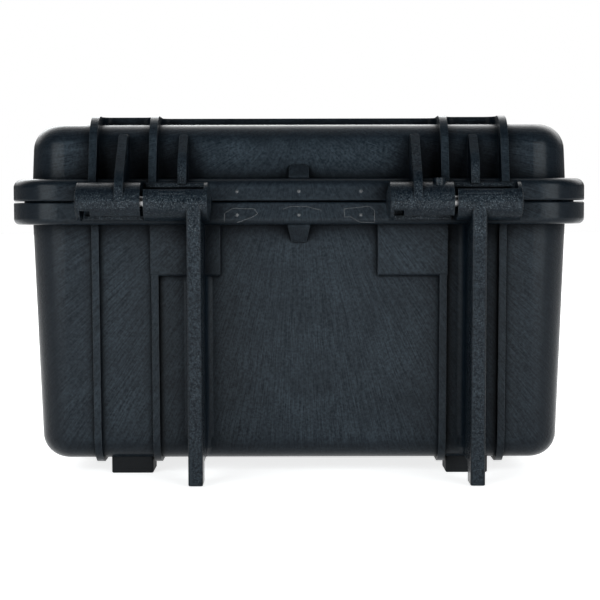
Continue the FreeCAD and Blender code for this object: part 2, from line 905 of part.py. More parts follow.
def lid_tab(body) -> None:
    """Add the tab above the middle of the hinge-side rim, with round corners and a face that leans to the wall.

    Args:
        body: Lid body.
    """
    top = f"({LID_RIM_TOP} + $lid_tab_rise)"
    low = f"({LID_RIM_TOP} - {EMBED})"
    half = "$lid_tab_width / 2"
    front = f"({REAR_RIM} - $rim_lid_soft)"
    slab(
        body, "lid_tab", "XZ", f"({REAR_WALL} - {EMBED})", f"({front} - {REAR_WALL} + {EMBED})",
        [
            (f"(-{half})", low),
            (f"({half})", low),
            (f"({half})", top, "$lid_tab_corner"),
            (f"(-{half})", top, "$lid_tab_corner"),
        ],
    )
    crest = f"({lid_wall(top, 1)} + $rib_soft)"
    slab(
        body, "lid_tab_lean", "YZ", f"(-{half} - {PAST})", f"($lid_tab_width + 2 * {PAST})",
        [
            (front, f"({LID_RIM_TOP} + $rib_soft)"),
            (f"({front} + {PAST})", f"({LID_RIM_TOP} + $rib_soft)"),
            (f"({front} + {PAST})", f"({top} + {PAST})"),
            (crest, f"({top} + {PAST})"),
            (crest, top),
        ],
        "Pocket",
    )


def build_base():
    """Build the base tub with its ribs, hinge halves, ears and valve seat.

    Returns:
        The base body.
    """
    body = new_body("base_shell")
    plan = sketch_on(body, "base_plan", "XY", BASE_TOP)
    outline(plan, plan_corners(HALF_W, HALF_D, "$wall_radius"))
    extrude(body, "Pad", plan, "($base_height - $rim_gap / 2)", True, "-$base_draft")
    soften(body, "base_edge", "$edge_radius", lambda e: flat_at(e, number("$foot_height")))
    slab(
        body, "base_rim", "XY", BASE_RIM_LOW, "($rim_height - $rim_gap / 2)",
        plan_corners("($rim_width / 2)", "($rim_depth / 2)", "$rim_radius"),
    )
    low, top = number(BASE_RIM_LOW), number(BASE_TOP)
    soften(
        body, "base_rim_low", "$rim_base_soft",
        lambda e: flat_at(e, low) and outside(e, "($rim_width / 2)", "($rim_depth / 2)"),
    )
    soften(body, "base_rim_top", "$rim_edge", lambda e: flat_at(e, top))
    for name, x in RIB_XS.items():
        base_rib(body, name, x)
    for name, x in (("left", f"-{PAD_OUTER_X}"), ("right", "$pad_inner_x")):
        base_pad(body, name, x)
    for name, x in BASE_KNUCKLES.items():
        knuckle(body, f"base_knuckle_{name}", x, False, f"({PART_Z} - $knuckle_radius)", BASE_TOP)
        knuckle_flat(body, f"base_flat_{name}", x, False, "$base_flat")
    for name, x in LID_KNUCKLES.items():
        guard_bar(body, f"base_bar_{name}", x, True, False)
    for name, x in (("left", "$base_fin_left_x"), ("right", "$base_fin_right_x")):
        base_fin(body, name, x)
    ground = number("$base_fin_clear")
    soften(body, "base_fin_ends", "$base_fin_end", lambda e: flat_at(e, ground))
    for name, x in RIB_XS.items():
        base_ear(body, name, x)
    for name, x in HANDLE_EARS.items():
        handle_ear(body, name, x)
    rod(
        body, "valve_boss", "XZ", VALVE_FACE, f"({base_wall('$valve_z', -1)} + {EMBED} - {VALVE_FACE})",
        "0", "$valve_z", "$valve_boss",
    )
    base_tab(body)
    cavity = sketch_on(body, "base_cavity", "XY", BASE_TOP)
    outline(cavity, plan_corners(f"({HALF_W} - $wall)", f"({HALF_D} - $wall)", "($wall_radius - $wall)"))
    deep = "($base_height - $rim_gap / 2 - $wall)"
    extrude(body, "Pocket", cavity, deep, False, "-$base_draft")
    floor = number("($foot_height + $wall)")
    soften(body, "base_floor", "$inner_radius", lambda e: flat_at(e, floor))
    tongue = sketch_on(body, "base_tongue", "XY", BASE_TOP)
    for way in ("+", "-"):
        outline(tongue, seal_corners(f"{way} $tongue_width / 2"))
    extrude(body, "Pad", tongue, "($rim_gap + $groove_depth - $gasket_height - $tongue_clear)")
    pin_bore(body, "base_bores", "$pin_fit")
    rod(
        body, "latch_bores", "YZ", f"(-$rib_outer_x - {EMBED})", f"(2 * $rib_outer_x + 2 * {EMBED})",
        LATCH_Y, LATCH_Z, "($rod_radius + $rod_fit)", "Pocket",
    )
    span = f"($handle_arm_x + {HANDLE_SPAN} / 2)"
    rod(
        body, "handle_bores", "YZ", f"-{span}", f"(2 * {span})",
        HANDLE_Y, HANDLE_Z, "($rod_radius + $rod_fit)", "Pocket",
    )
    seats = sketch_on(body, "foot_seats", "XY", "($foot_height - 2 * $base_rib_under)")
    for _, x, y in FEET:
        outline(seats, box_corners(*foot_box(x, y, "0")))
    extrude(body, "Pocket", seats, "(2 * $base_rib_under + $foot_seat)", True)
    rod(
        body, "valve_inside", "XZ", f"({base_wall('$valve_z', -1)} + $wall / 2)",
        f"({VALVE_BACK} - {base_wall('$valve_z', -1)} - $wall / 2)", "0", "$valve_z", "$valve_flange",
    )
    rod(
        body, "valve_seat", "XZ", f"({VALVE_FACE} - {PAST})", f"($valve_seat_deep + {PAST})",
        "0", "$valve_z", "($valve_ring_mid + $valve_ring + $valve_thread_gap)", "Pocket",
    )
    rod(
        body, "valve_bore", "XZ", f"({VALVE_FACE} - {PAST})", f"({VALVE_BACK} - {VALVE_FACE} + 2 * {PAST})",
        "0", "$valve_z", "($valve_thread + $valve_thread_gap)", "Pocket",
    )
    return body


def seal_corners(shift: str):
    """List the corners of a rounded rectangle along the middle of the seal.

    Args:
        shift: Formula added to the half sizes and the radius.

    Returns:
        Corners for outline in a plan sketch.
    """
    return plan_corners(
        f"($rim_width / 2 - $seal_side {shift})",
        f"($rim_depth / 2 - $seal_end {shift})",
        f"($seal_radius {shift})",
    )


def foot_box(x: str, y: str, gap: str):
    """Give a foot's plan rectangle.

    Args:
        x: Formula of the foot's middle X.
        y: Formula of the foot's middle Y.
        gap: Formula of the side clearance taken off all round.

    Returns:
        Low X, low Y, high X and high Y formulas.
    """
    half_x = f"($foot_width / 2 - {gap})"
    half_y = f"($foot_length / 2 - {gap})"
    return f"({x} - {half_x})", f"({y} - {half_y})", f"({x} + {half_x})", f"({y} + {half_y})"


def lid_rib(body, name: str, x: str) -> None:
    """Add a rib that climbs the hinge side, crosses the top and comes down the front.

    Args:
        body: Lid body.
        name: Rib name.
        x: Formula of the rib's middle X.
    """
    high = f"({LID_TOP} + $lid_rib_top)"
    low = f"({PART_Z} + $knuckle_radius - $rim_edge)"
    corner = "($edge_radius + $lid_rib_top)"
    slab(
        body, f"lid_rib_{name}", "YZ", f"({x} - $lid_rib_thick / 2)", "$lid_rib_thick",
        [
            (f"{FRONT_RIM}", low),
            (f"({REAR_RIM} + $lid_rib_foot)", low),
            (f"({lid_wall(LID_TOP, 1)} + $lid_rib_rise)", high, corner),
            (f"({lid_wall(LID_TOP, -1)} - $lid_rib_rise)", high, corner),
        ],
    )


def lid_fin(body, name: str, x: str, arm: bool) -> None:
    """Add a fin on the lid's hinge side.

    Args:
        body: Lid body.
        name: Fin name.
        x: Formula of the fin's middle X.
        arm: True when the fin runs on into a lid knuckle.
    """
    top = f"({PART_Z} + $lid_fin_rise)"
    low = LID_LOW if arm else f"({PART_Z} + $knuckle_radius - $rim_edge)"
    front = f"({HINGE_Y} + $knuckle_radius)" if arm else f"({REAR_RIM} + $lid_fin_foot)"
    bend = f"({PART_Z} + $knuckle_radius)" if arm else f"({PART_Z} + 2 * $knuckle_radius)"
    crest = "$lid_arm_crest" if arm else "$lid_fin_crest"
    slab(
        body, f"lid_fin_{name}", "YZ", f"({x} - $lid_fin_thick / 2)", "$lid_fin_thick",
        [
            (f"({lid_wall(top, 1)} - 2 * {EMBED})", low),
            (front, low),
            (front, bend, "$lid_fin_bend"),
            (f"({lid_wall(top, 1)} + {crest})", top),
            (f"({lid_wall(top, 1)} - 2 * {EMBED})", top),
        ],
    )


def build_lid():
    """Build the lid with its ribs, top strips, hinge halves, catches and seal groove.

    Returns:
        The lid body.
    """
    body = new_body("lid_shell")
    plan = sketch_on(body, "lid_plan", "XY", LID_LOW)
    outline(plan, plan_corners(HALF_W, HALF_D, "$wall_radius"))
    extrude(body, "Pad", plan, "($lid_height - $rim_gap / 2)", False, "-$lid_draft")
    soften(body, "lid_edge", "$edge_radius", lambda e: flat_at(e, number(LID_TOP)))
    slab(
        body, "lid_rim", "XY", LID_LOW, "($rim_height - $rim_gap / 2)",
        plan_corners("($rim_width / 2)", "($rim_depth / 2)", "$rim_radius"),
    )
    low, top = number(LID_LOW), number(LID_RIM_TOP)
    soften(
        body, "lid_rim_top", "$rim_lid_soft",
        lambda e: flat_at(e, top) and outside(e, "($rim_width / 2)", "($rim_depth / 2)"),
    )
    soften(body, "lid_rim_low", "$rim_edge", lambda e: flat_at(e, low))
    for name, x in RIB_XS.items():
        lid_rib(body, name, x)
    strips = sketch_on(body, "pair_strips", "XY", f"({LID_TOP} - {EMBED})")
    middle = sketch_on(body, "middle_strips", "XY", f"({LID_TOP} - {EMBED})")
    for way in ("-", "+"):
        near_y = f"($body_y {way} $strip_y - $strip_thick / 2)"
        far_y = f"($body_y {way} $strip_y + $strip_thick / 2)"
        outline(strips, box_corners("-$rib_outer_x", near_y, "-$rib_inner_x", far_y))
        outline(strips, box_corners("$rib_inner_x", near_y, "$rib_outer_x", far_y))
        outline(middle, box_corners("-$rib_inner_x", near_y, "$rib_inner_x", far_y))
    extrude(body, "Pad", strips, f"($lid_rib_top + {EMBED})")
    extrude(body, "Pad", middle, f"($lid_rib_top + {EMBED} - $strip_drop)")
    flat_top = number(LID_TOP)
    soften(
        body, "strip_corners", "$strip_corner",
        lambda e: near(e.BoundBox.XLength, 0) and near(e.BoundBox.YLength, 0)
        and near(e.BoundBox.ZMin, flat_top) and e.BoundBox.ZLength > number("$lid_rib_top / 2"),
    )
    for name, x in LID_KNUCKLES.items():
        knuckle(body, f"lid_knuckle_{name}", x, True, LID_LOW, f"({PART_Z} + $knuckle_radius)")
        knuckle_flat(body, f"lid_flat_{name}", x, True, "$lid_flat")
        knuckle_notch(body, f"lid_notch_{name}", x)
    for name, x in BASE_KNUCKLES.items():
        guard_bar(body, f"lid_bar_{name}", x, False, True)
    lid_fin(body, "left_inner", "-$lid_fin_inner_x", True)
    lid_fin(body, "left_outer", "-$lid_fin_outer_x", False)
    lid_fin(body, "right_inner", "$lid_fin_inner_x", False)
    lid_fin(body, "right_outer", "$lid_fin_outer_x", True)
    crest = number(f"({PART_Z} + $lid_fin_rise)")
    soften(
        body, "lid_fin_tops", "$lid_fin_soft",
        lambda e: near(e.BoundBox.XLength, 0) and flat_at(e, crest),
    )
    rod(
        body, "lid_stop", "XY", LID_LOW, "($stop_rise - $rim_gap / 2)",
        "$stop_x", f"({REAR_RIM} + $stop_out)", "$stop_radius",
    )
    lid_tab(body)
    catches = sketch_on(body, "latch_catches", "XY", f"({LID_RIM_TOP} - $rim_lid_soft)")
    for x in (f"-{LATCH_X}", LATCH_X):
        half = f"({LATCH_SPAN} / 2)"
        outline(
            catches,
            box_corners(f"({x} - {half})", FRONT_RIM, f"({x} + {half})", f"({FRONT_RIM} + $catch_deep)"),
        )
    extrude(body, "Pad", catches, "($rim_lid_soft + $catch_rise)")
    cavity = sketch_on(body, "lid_cavity", "XY", LID_LOW)
    outline(cavity, plan_corners(f"({HALF_W} - $wall)", f"({HALF_D} - $wall)", "($wall_radius - $wall)"))
    extrude(body, "Pocket", cavity, "($lid_height - $rim_gap / 2 - $wall)", True, "-$lid_draft")
    roof = number(f"({LID_TOP} - $wall)")
    soften(body, "lid_roof", "$inner_radius", lambda e: flat_at(e, roof))
    groove = sketch_on(body, "lid_groove", "XY", LID_LOW)
    for way in ("+", "-"):
        outline(groove, seal_corners(f"{way} $groove_width / 2"))
    extrude(body, "Pocket", groove, "$groove_depth", True)
    pin_bore(body, "lid_bores", "$pin_run")
    return body


def build_gasket():
    """Build the seal ring that lies in the lid's groove.

    Returns:
        The gasket body.
    """
    body = new_body("lid_gasket")
    ring = sketch_on(body, "gasket_plan", "XY", f"({LID_LOW} + $groove_depth - $gasket_height)")
    for way in ("+", "-"):
        outline(ring, seal_corners(f"{way} ($groove_width / 2 - $gasket_fit)"))
    extrude(body, "Pad", ring, "$gasket_height")
    return body


def build_foot(name: str, x: str, y: str):
    """Build one foot, seated in its recess.

    Args:
        name: Node name.
        x: Formula of the foot's middle X.
        y: Formula of the foot's middle Y.

    Returns:
        The foot body.
    """
    body = new_body(name)
    slab(
        body, f"{name}_plan", "XY", "0", "($foot_height + $foot_seat)",
        box_corners(*foot_box(x, y, "$foot_fit"), "$foot_corner"),
    )
    soften(body, f"{name}_soft", "$foot_soft", lambda e: flat_at(e, 0.0))
    return body


def build_rod(name: str, low: str, long: str, y: str, z: str, radius: str):
    """Build a steel pin that lies along X.

    Args:
        name: Node name.
        low: Formula of the low X end.
        long: Formula of the length.
        y: Formula of the axis Y.
        z: Formula of the axis Z.
        radius: Formula of the radius.

    Returns:
        The pin body.
    """
    body = new_body(name)
    rod(body, f"{name}_round", "YZ", low, long, y, z, radius)
    return body


def build_latch(name: str, x: str):
    """Build one latch around its own pivot, then place it unhooked.

    Args:
        name: Node name.
        x: Formula of the latch's middle X.

    Returns:
        The latch body.
    """
    body = new_body(name)
    half = "(($rib_outer_x - $rib_inner_x - $base_rib_thick) / 2 - $latch_side_gap)"
    inner = "($latch_out - $latch_face_gap)"
    outer = f"({inner} - $latch_thick)"
    under = "($latch_drop + $rim_height + $catch_rise + $latch_hook_gap)"
    top = f"({under} + $latch_hook_thick)"
    tip = "($latch_out + $latch_hook)"
    rod(body, f"{name}_barrel", "YZ", f"-{half}", f"(2 * {half})", "0", "0", "$latch_barrel")
    slab(
        body, f"{name}_plate", "YZ", f"-{half}", f"(2 * {half})",
        [
            (outer, "0"),
            (inner, "0"),
            (inner, under, "$rib_soft"),
            (tip, under),
            (tip, f"({top} - $rib_soft)", "$rib_soft"),
            (f"({outer} - $latch_lip)", top, "$latch_lip / 2"),
            (f"({outer} - $latch_lip)", f"({top} - $latch_lip)", "$latch_lip / 4"),
            (outer, f"({top} - 2 * $latch_lip)", "$latch_lip"),
        ],
    )
    for ridge in range(3):
        level = f"({under} - $ridge_first - {ridge} * $ridge_pitch)"
        start = f"(-{half} + $latch_lip / 2)"
        slab(
            body, f"{name}_ridge_{ridge}", "YZ", start, f"(2 * {half} - $latch_lip)",
            [
                (f"({outer} + $rib_soft)", f"({level} - $latch_lip / 4)"),
                (f"({outer} + $rib_soft)", f"({level} + $latch_lip / 4)"),
                (f"({outer} - $rib_soft)", f"({level} + $latch_lip / 4)", "$ridge_soft"),
                (f"({outer} - $rib_soft)", f"({level} - $latch_lip / 4)", "$ridge_soft"),
            ],
        )
    rod(
        body, f"{name}_bore", "YZ", f"(-{half} - {PAST})", f"(2 * {half} + 2 * {PAST})",
        "0", "0", "($rod_radius + $rod_run)", "Pocket",
    )
    body.setExpression("Placement.Base.x", s(x))
    body.setExpression("Placement.Base.y", s(LATCH_Y))
    body.setExpression("Placement.Base.z", s(LATCH_Z))
    body.Placement.Rotation = FreeCAD.Rotation(FreeCAD.Vector(1, 0, 0), 0)
    body.setExpression("Placement.Rotation.Angle", s("$latch_ajar"))
    body.setExpression("Placement.Rotation.Axis.x", "1")
    document.recompute()
    return body


def build_bail():
    """Build the handle's stiff bail, hanging down.

    Returns:
        The bail body.
    """
    body = new_body("handle_bail")
    inner = "($handle_arm_x - $handle_arm_thick / 2)"
    outer = "($handle_arm_x + $handle_arm_thick / 2)"
    low = f"({HANDLE_Z} - $handle_hang)"
    bar = f"({low} + $handle_bar)"
    slab(
        body, "bail_front", "XZ", f"({HANDLE_Y} - $handle_thick / 2)", "$handle_thick",
        [
            (f"-{outer}", HANDLE_Z),
            (f"-{outer}", low, "$handle_corner"),
            (outer, low, "$handle_corner"),
            (outer, HANDLE_Z),
            (inner, HANDLE_Z),
            (inner, bar, "$handle_corner / 2"),
            (f"-{inner}", bar, "$handle_corner / 2"),
            (f"-{inner}", HANDLE_Z),
        ],
    )
    level = number(HANDLE_Z)
    faces = [number(f"({HANDLE_Y} {way} $handle_thick / 2)") for way in ("-", "+")]
    soften(
        body, "bail_soft", "$handle_soft",
        lambda e: near(e.BoundBox.YLength, 0) and any(near(e.BoundBox.YMin, y) for y in faces)
        and not flat_at(e, level),
    )
    for side, x in (("left", f"-{outer}"), ("right", inner)):
        rod(body, f"bail_eye_{side}", "YZ", x, "$handle_arm_thick", HANDLE_Y, HANDLE_Z, "$handle_eye")
    rod(
        body, "bail_bore", "YZ", f"(-{outer} - {PAST})", f"(2 * {outer} + 2 * {PAST})",
        HANDLE_Y, HANDLE_Z, "($rod_radius + $rod_run)", "Pocket",
    )
    return body


def build_grip():
    """Build the soft sleeve around the bail's bar.

    Returns:
        The grip body.
    """
    body = new_body("handle_grip")
    middle = f"({HANDLE_Z} - $handle_hang + $handle_bar / 2)"
    sketch = sketch_on(body, "grip_section", "YZ", "-$grip_half")
    for cover, radius in (("$grip_cover", "$grip_corner"), ("$grip_fit", "($handle_soft + $grip_fit)")):
        wide = f"($handle_thick / 2 + {cover})"
        tall = f"($handle_bar / 2 + {cover})"
        outline(
            sketch,
            box_corners(
                f"({HANDLE_Y} - {wide})", f"({middle} - {tall})",
                f"({HANDLE_Y} + {wide})", f"({middle} + {tall})", radius,
            ),
        )
    extrude(body, "Pad", sketch, "(2 * $grip_half)")
    ends = number("$grip_half")
    reach_y, reach_z = number("$handle_thick / 2"), number("$handle_bar / 2")
    centre_y, centre_z = number(HANDLE_Y), number(middle)

    def on_end(edge) -> bool:
        """Say whether an edge goes round the outside of one of the sleeve's ends."""
        box = edge.BoundBox
        at_end = near(box.XLength, 0) and near(abs(box.XMin), ends)
        far_y = max(abs(box.YMin - centre_y), abs(box.YMax - centre_y))
        far_z = max(abs(box.ZMin - centre_z), abs(box.ZMax - centre_z))
        return at_end and (far_y > reach_y + number(PAST) or far_z > reach_z + number(PAST))

    soften(body, "grip_ends", "$grip_cover / 2", on_end)
    return body


def build_valve():
    """Build the pressure valve's four pieces.

    Returns:
        The valve's body, seal ring, nut and knob.
    """
    out = f"({VALVE_FACE} - $valve_flange_thick)"
    tail = f"({VALVE_BACK} + $valve_tail)"
    core = new_body("valve_body")
    rod(core, "valve_flange_round", "XZ", out, "$valve_flange_thick", "0", "$valve_z", "$valve_flange")
    long = f"({tail} - {VALVE_FACE})"
    rod(core, "valve_thread_round", "XZ", VALVE_FACE, long, "0", "$valve_z", "$valve_thread")
    rod(
        core, "valve_stem_bore", "XZ", f"({out} - {PAST})", f"($valve_stem_deep + {PAST})",
        "0", "$valve_z", "($valve_stem + $valve_stem_run)", "Pocket",
    )
    face = number(out)
    soften(
        core, "valve_flange_soft", "$rim_edge",
        lambda e: near(e.BoundBox.YMin, face) and near(e.BoundBox.YLength, 0)
        and e.BoundBox.XLength > number("$valve_flange"),
    )
    ring = document.addObject("Part::Torus", "valve_o_ring")
    ring.Label = "valve_o_ring"
    ring.setExpression("Radius1", s("$valve_ring_mid"))
    ring.setExpression("Radius2", s("$valve_ring"))
    ring.Placement = FreeCAD.Placement(
        FreeCAD.Vector(0, 0, 0), FreeCAD.Rotation(FreeCAD.Vector(1, 0, 0), 90),
    )
    ring.setExpression("Placement.Base.y", s(f"({VALVE_FACE} + $valve_seat_deep / 2)"))
    ring.setExpression("Placement.Base.z", s("$valve_z"))
    nut = new_body("valve_nut")
    spread = "($valve_nut_flat / cos(30))"
    slab(
        nut, "valve_nut_hex", "XZ", VALVE_BACK, "$valve_nut_thick",
        [(f"({spread} * cos({60 * i}))", f"($valve_z + {spread} * sin({60 * i}))") for i in range(6)],
    )
    rod(
        nut, "valve_nut_bore", "XZ", f"({VALVE_BACK} - {PAST})", f"($valve_nut_thick + 2 * {PAST})",
        "0", "$valve_z", "($valve_thread + $rod_run)", "Pocket",
    )
    knob = new_body("valve_knob")
    low = f"({out} - $valve_knob_gap - $valve_knob_tall)"
    rod(knob, "valve_knob_round", "XZ", low, "$valve_knob_tall", "0", "$valve_z", "$valve_knob")
    rod(
        knob, "valve_stem_round", "XZ", low, "($valve_knob_tall + $valve_knob_gap + $valve_stem_deep / 2)",
        "0", "$valve_z", "$valve_stem",
    )
    cuts = sketch_on(knob, "valve_knob_cuts", "XZ", f"-({low} + $valve_web_tall)")
    far = f"($valve_knob + {EMBED})"
    levels = "($valve_z - 2 * $valve_knob)", "($valve_z + 2 * $valve_knob)"
    for near_x, far_x in ((f"-{far}", "-$valve_web"), ("$valve_web", far)):
        outline(cuts, box_corners(near_x, levels[0], far_x, levels[1]))
    extrude(knob, "Pocket", cuts, "$valve_knob_tall", True)
    return core, ring, nut, knob


# Front fittings
HANDLE_EARS = {
    f"{side}_{place}": f"({sign}$handle_arm_x {shift})"
    for side, sign in (("left", "-"), ("right", "+"))
    for place, shift in (
        ("low", "- $handle_arm_thick / 2 - $handle_side_gap - $handle_ear_thick"),
        ("high", "+ $handle_arm_thick / 2 + $handle_side_gap"),
    )
}
LATCH_SPAN = "($rib_outer_x - $rib_inner_x + $base_rib_thick)"
HANDLE_SPAN = "($handle_arm_thick + 2 * $handle_side_gap + 2 * $handle_ear_thick)"
VALVE_FACE = f"({base_wall('($valve_z + $valve_boss)', -1)} - $valve_boss_rise)"
VALVE_BACK = f"({base_wall('($valve_z - $valve_boss)', -1)} + $wall + $valve_boss_rise / 2)"
FEET = [
    (f"foot_{end}_{side}", f"{sign}$foot_x", f"($body_y {way} $foot_y)")
    for end, way in (("front", "-"), ("rear", "+"))
    for side, sign in (("left", "-"), ("right", "+"))
]
HINGE_SPAN = "(2 * $knuckle_length + $knuckle_gap - 2 * $pin_recess)"
PINS = {
    "hinge_pin": ("$knuckle_inner_x + $pin_recess", HINGE_SPAN, HINGE_Y, PART_Z, "$pin_radius"),
    "latch_pin": (f"{LATCH_X} - {LATCH_SPAN} / 2", LATCH_SPAN, LATCH_Y, LATCH_Z, "$rod_radius"),
    "handle_pin": (f"$handle_arm_x - {HANDLE_SPAN} / 2", HANDLE_SPAN, HANDLE_Y, HANDLE_Z, "$rod_radius"),
}


def main() -> None:
    """Build every sub-part, check them all, and write one file for each."""
    parts = [build_base(), build_lid(), build_gasket()]
    parts += [build_foot(*foot) for foot in FEET]
    for name, (low, long, y, z, radius) in PINS.items():
        parts.append(build_rod(f"{name}_left", f"(-({low}) - {long})", long, y, z, radius))
        parts.append(build_rod(f"{name}_right", f"({low})", long, y, z, radius))
    parts += [build_latch("latch_left", f"-{LATCH_X}"), build_latch("latch_right", LATCH_X)]
    parts += [build_bail(), build_grip(), *build_valve()]
    document.recompute()
    faults = [o.Name for o in document.Objects if {"Invalid", "Error"} & set(o.State)]
    faults += [p.Label for p in parts if p.Shape.isNull() or not p.Shape.isValid()]
    faults += [p.Label for p in parts if len(p.Shape.Solids) != 1]
    if faults:
        raise RuntimeError(f"faulty objects: {faults}")
    os.makedirs("parts", exist_ok=True)
    for part in parts:
        part.Shape.exportStep(f"parts/{part.Label}.step")


main()
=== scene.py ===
"""Protective hard case: finishes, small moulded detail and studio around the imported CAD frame."""
import logging
import math
from dataclasses import dataclass, field
from enum import Enum
from typing import Sequence

import bmesh
import bpy
import numpy as np
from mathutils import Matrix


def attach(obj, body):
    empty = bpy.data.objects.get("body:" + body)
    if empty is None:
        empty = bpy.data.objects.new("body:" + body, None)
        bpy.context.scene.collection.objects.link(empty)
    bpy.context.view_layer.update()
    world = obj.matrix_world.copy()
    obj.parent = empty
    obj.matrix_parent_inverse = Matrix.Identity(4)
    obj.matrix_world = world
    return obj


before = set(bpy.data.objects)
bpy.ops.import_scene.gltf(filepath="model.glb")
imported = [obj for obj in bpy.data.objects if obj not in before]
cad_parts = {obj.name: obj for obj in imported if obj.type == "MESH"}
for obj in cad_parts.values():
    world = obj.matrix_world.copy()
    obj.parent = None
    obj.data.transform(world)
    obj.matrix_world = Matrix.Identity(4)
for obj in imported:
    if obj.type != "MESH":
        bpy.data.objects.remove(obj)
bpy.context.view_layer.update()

log = logging.getLogger("hard_case")

Colour = tuple[float, float, float]
Point = tuple[float, float, float]
# Values at which a mask is 0 and 1, or the values that a mask is carried to there
Limits = tuple[float, float]

# Places of the CAD in metres that the added detail sits on
PART_Z = 0.1296
REAR_RIM_Y = 0.1057
HINGE_Y = 0.11535

# Lengths in metres: points closer than the gap are one point
MILLIMETRE = 0.001
MERGE_GAP = 1e-7

BLACK: Colour = (0.0, 0.0, 0.0)
WHITE: Colour = (1.0, 1.0, 1.0)


class Body(Enum):
    """Bodies that carry added detail."""

    BASE = "base"
    LID = "lid"


class Slot(Enum):
    """Material slots of the record, passed along with added detail."""

    SHELL = "shell"


class Mixed(Enum):
    """What a mix node mixes: its data type, and the ending of its sockets' names."""

    COLOUR = ("RGBA", "Color")
    VALUE = ("FLOAT", "Float")


def opaque(colour: Colour) -> tuple[float, float, float, float]:
    """Give a colour with full alpha."""
    return (*colour, 1.0)


class NodeChain:
    """Short way to lay and join shader nodes in one tree."""

    def __init__(self, tree: bpy.types.NodeTree) -> None:
        """Keep the tree.

        Args:
            tree: Tree that gets the nodes.
        """
        self.tree = tree

    def add(self, kind: str, inputs: dict | None = None, **settings: object) -> bpy.types.Node:
        """Add a node, set its fields, and set or join its inputs.

        Args:
            kind: Node type without the ShaderNode prefix.
            inputs: Input name or number to a value or to a socket of another node.
            **settings: Fields of the node.

        Returns:
            The node.
        """
        node = self.tree.nodes.new(kind if kind.startswith("Node") else f"ShaderNode{kind}")
        for key, value in settings.items():
            setattr(node, key, value)
        for key, value in (inputs or {}).items():
            self.join(value, node.inputs[key])
        return node

    def join(self, value: object, socket: bpy.types.NodeSocket) -> None:
        """Set an input, or join another socket to it.

        Args:
            value: Value or output socket.
            socket: Input socket.
        """
        if isinstance(value, bpy.types.NodeSocket):
            self.tree.links.new(value, socket)
        else:
            socket.default_value = value

    def place(self) -> bpy.types.NodeSocket:
        """Give the object coordinates."""
        return self.add("TexCoord").outputs["Object"]

    def split(self, vector: bpy.types.NodeSocket) -> bpy.types.NodeOutputs:
        """Give a vector's X, Y and Z."""
        return self.add("SeparateXYZ", {0: vector}).outputs

    def math(self, operation: str, *values: object) -> bpy.types.NodeSocket:
        """Add a math node.

        Args:
            operation: Blender's name of the operation.
            *values: Numbers or sockets.

        Returns:
            The result socket.
        """
        return self.add("Math", dict(enumerate(values)), operation=operation).outputs[0]

    def product(self, first: object, *others: object) -> object:
        """Multiply values one after another.

        Args:
            first: First number or socket.
            *others: Numbers or sockets to multiply it by.

        Returns:
            The result socket.
        """
        for other in others:
            first = self.math("MULTIPLY", first, other)
        return first

    def stretch(self, value: object, limits: Limits) -> bpy.types.NodeSocket:
        """Stretch a value between two limits to the range from 0 to 1.

        Args:
            value: Socket to stretch.
            limits: Value that becomes 0, and value that becomes 1.

        Returns:
            The stretched value, held within the range.
        """
        low, high = limits
        node = self.add("MapRange", {"Value": value, "From Min": low, "From Max": high})
        return node.outputs["Result"]

    def ramp(self, mask: object, ends: Limits) -> bpy.types.NodeSocket:
        """Carry a mask onto another range, low + mask (high - low).

        Args:
            mask: Socket from 0 to 1.
            ends: Low, where the mask is 0, and high, where it is 1.

        Returns:
            The value.
        """
        low, high = ends
        return self.math("MULTIPLY_ADD", mask, high - low, low)

    def blend(
        self, factor: object, first: object, second: object, mixed: Mixed = Mixed.COLOUR,
    ) -> bpy.types.NodeSocket:
        """Mix two colours or two values.

        Args:
            factor: Share of the second.
            first: Colour, value or socket.
            second: Colour, value or socket.
            mixed: What is mixed.

        Returns:
            The mixture.
        """
        data_type, ending = mixed.value
        node = self.add("Mix", data_type=data_type)
        sockets = {socket.identifier: socket for socket in node.inputs}
        given = {"Factor_Float": factor, f"A_{ending}": first, f"B_{ending}": second}
        for name, value in given.items():
            self.join(value, sockets[name])
        return next(socket for socket in node.outputs if socket.identifier == f"Result_{ending}")

    def noise(
        self, place: object, scale: object, detail: float, roughness: float = 0.5,
    ) -> bpy.types.NodeSocket:
        """Add a noise texture.

        Args:
            place: Socket of the place where it is read.
            scale: Number or socket of its fineness.
            detail: Number of finer layers.
            roughness: Strength of the finer layers.

        Returns:
            The noise value.
        """
        inputs = {"Vector": place, "Scale": scale, "Detail": detail, "Roughness": roughness}
        return self.add("TexNoise", inputs).outputs[0]


class GroupChain(NodeChain):
    """Chain of a shader node group with named number sockets."""

    def __init__(self, name: str, inputs: dict[str, float], outputs: Sequence[str]) -> None:
        """Start the group.

        Args:
            name: Group name.
            inputs: Input names with their first values.
            outputs: Output names.
        """
        super().__init__(bpy.data.node_groups.new(name, "ShaderNodeTree"))
        panel = self.tree.interface
        kind = "NodeSocketFloat"
        for key, value in inputs.items():
            panel.new_socket(key, in_out="INPUT", socket_type=kind).default_value = value
        for key in outputs:
            panel.new_socket(key, in_out="OUTPUT", socket_type=kind)
        self.given = self.add("NodeGroupInput").outputs
        self.result = self.add("NodeGroupOutput").inputs

    def off_parting(self, height: bpy.types.NodeSocket) -> bpy.types.NodeSocket:
        """Give the distance above or below the parting line of base and lid."""
        return self.math("ABSOLUTE", self.math("SUBTRACT", height, PART_Z))


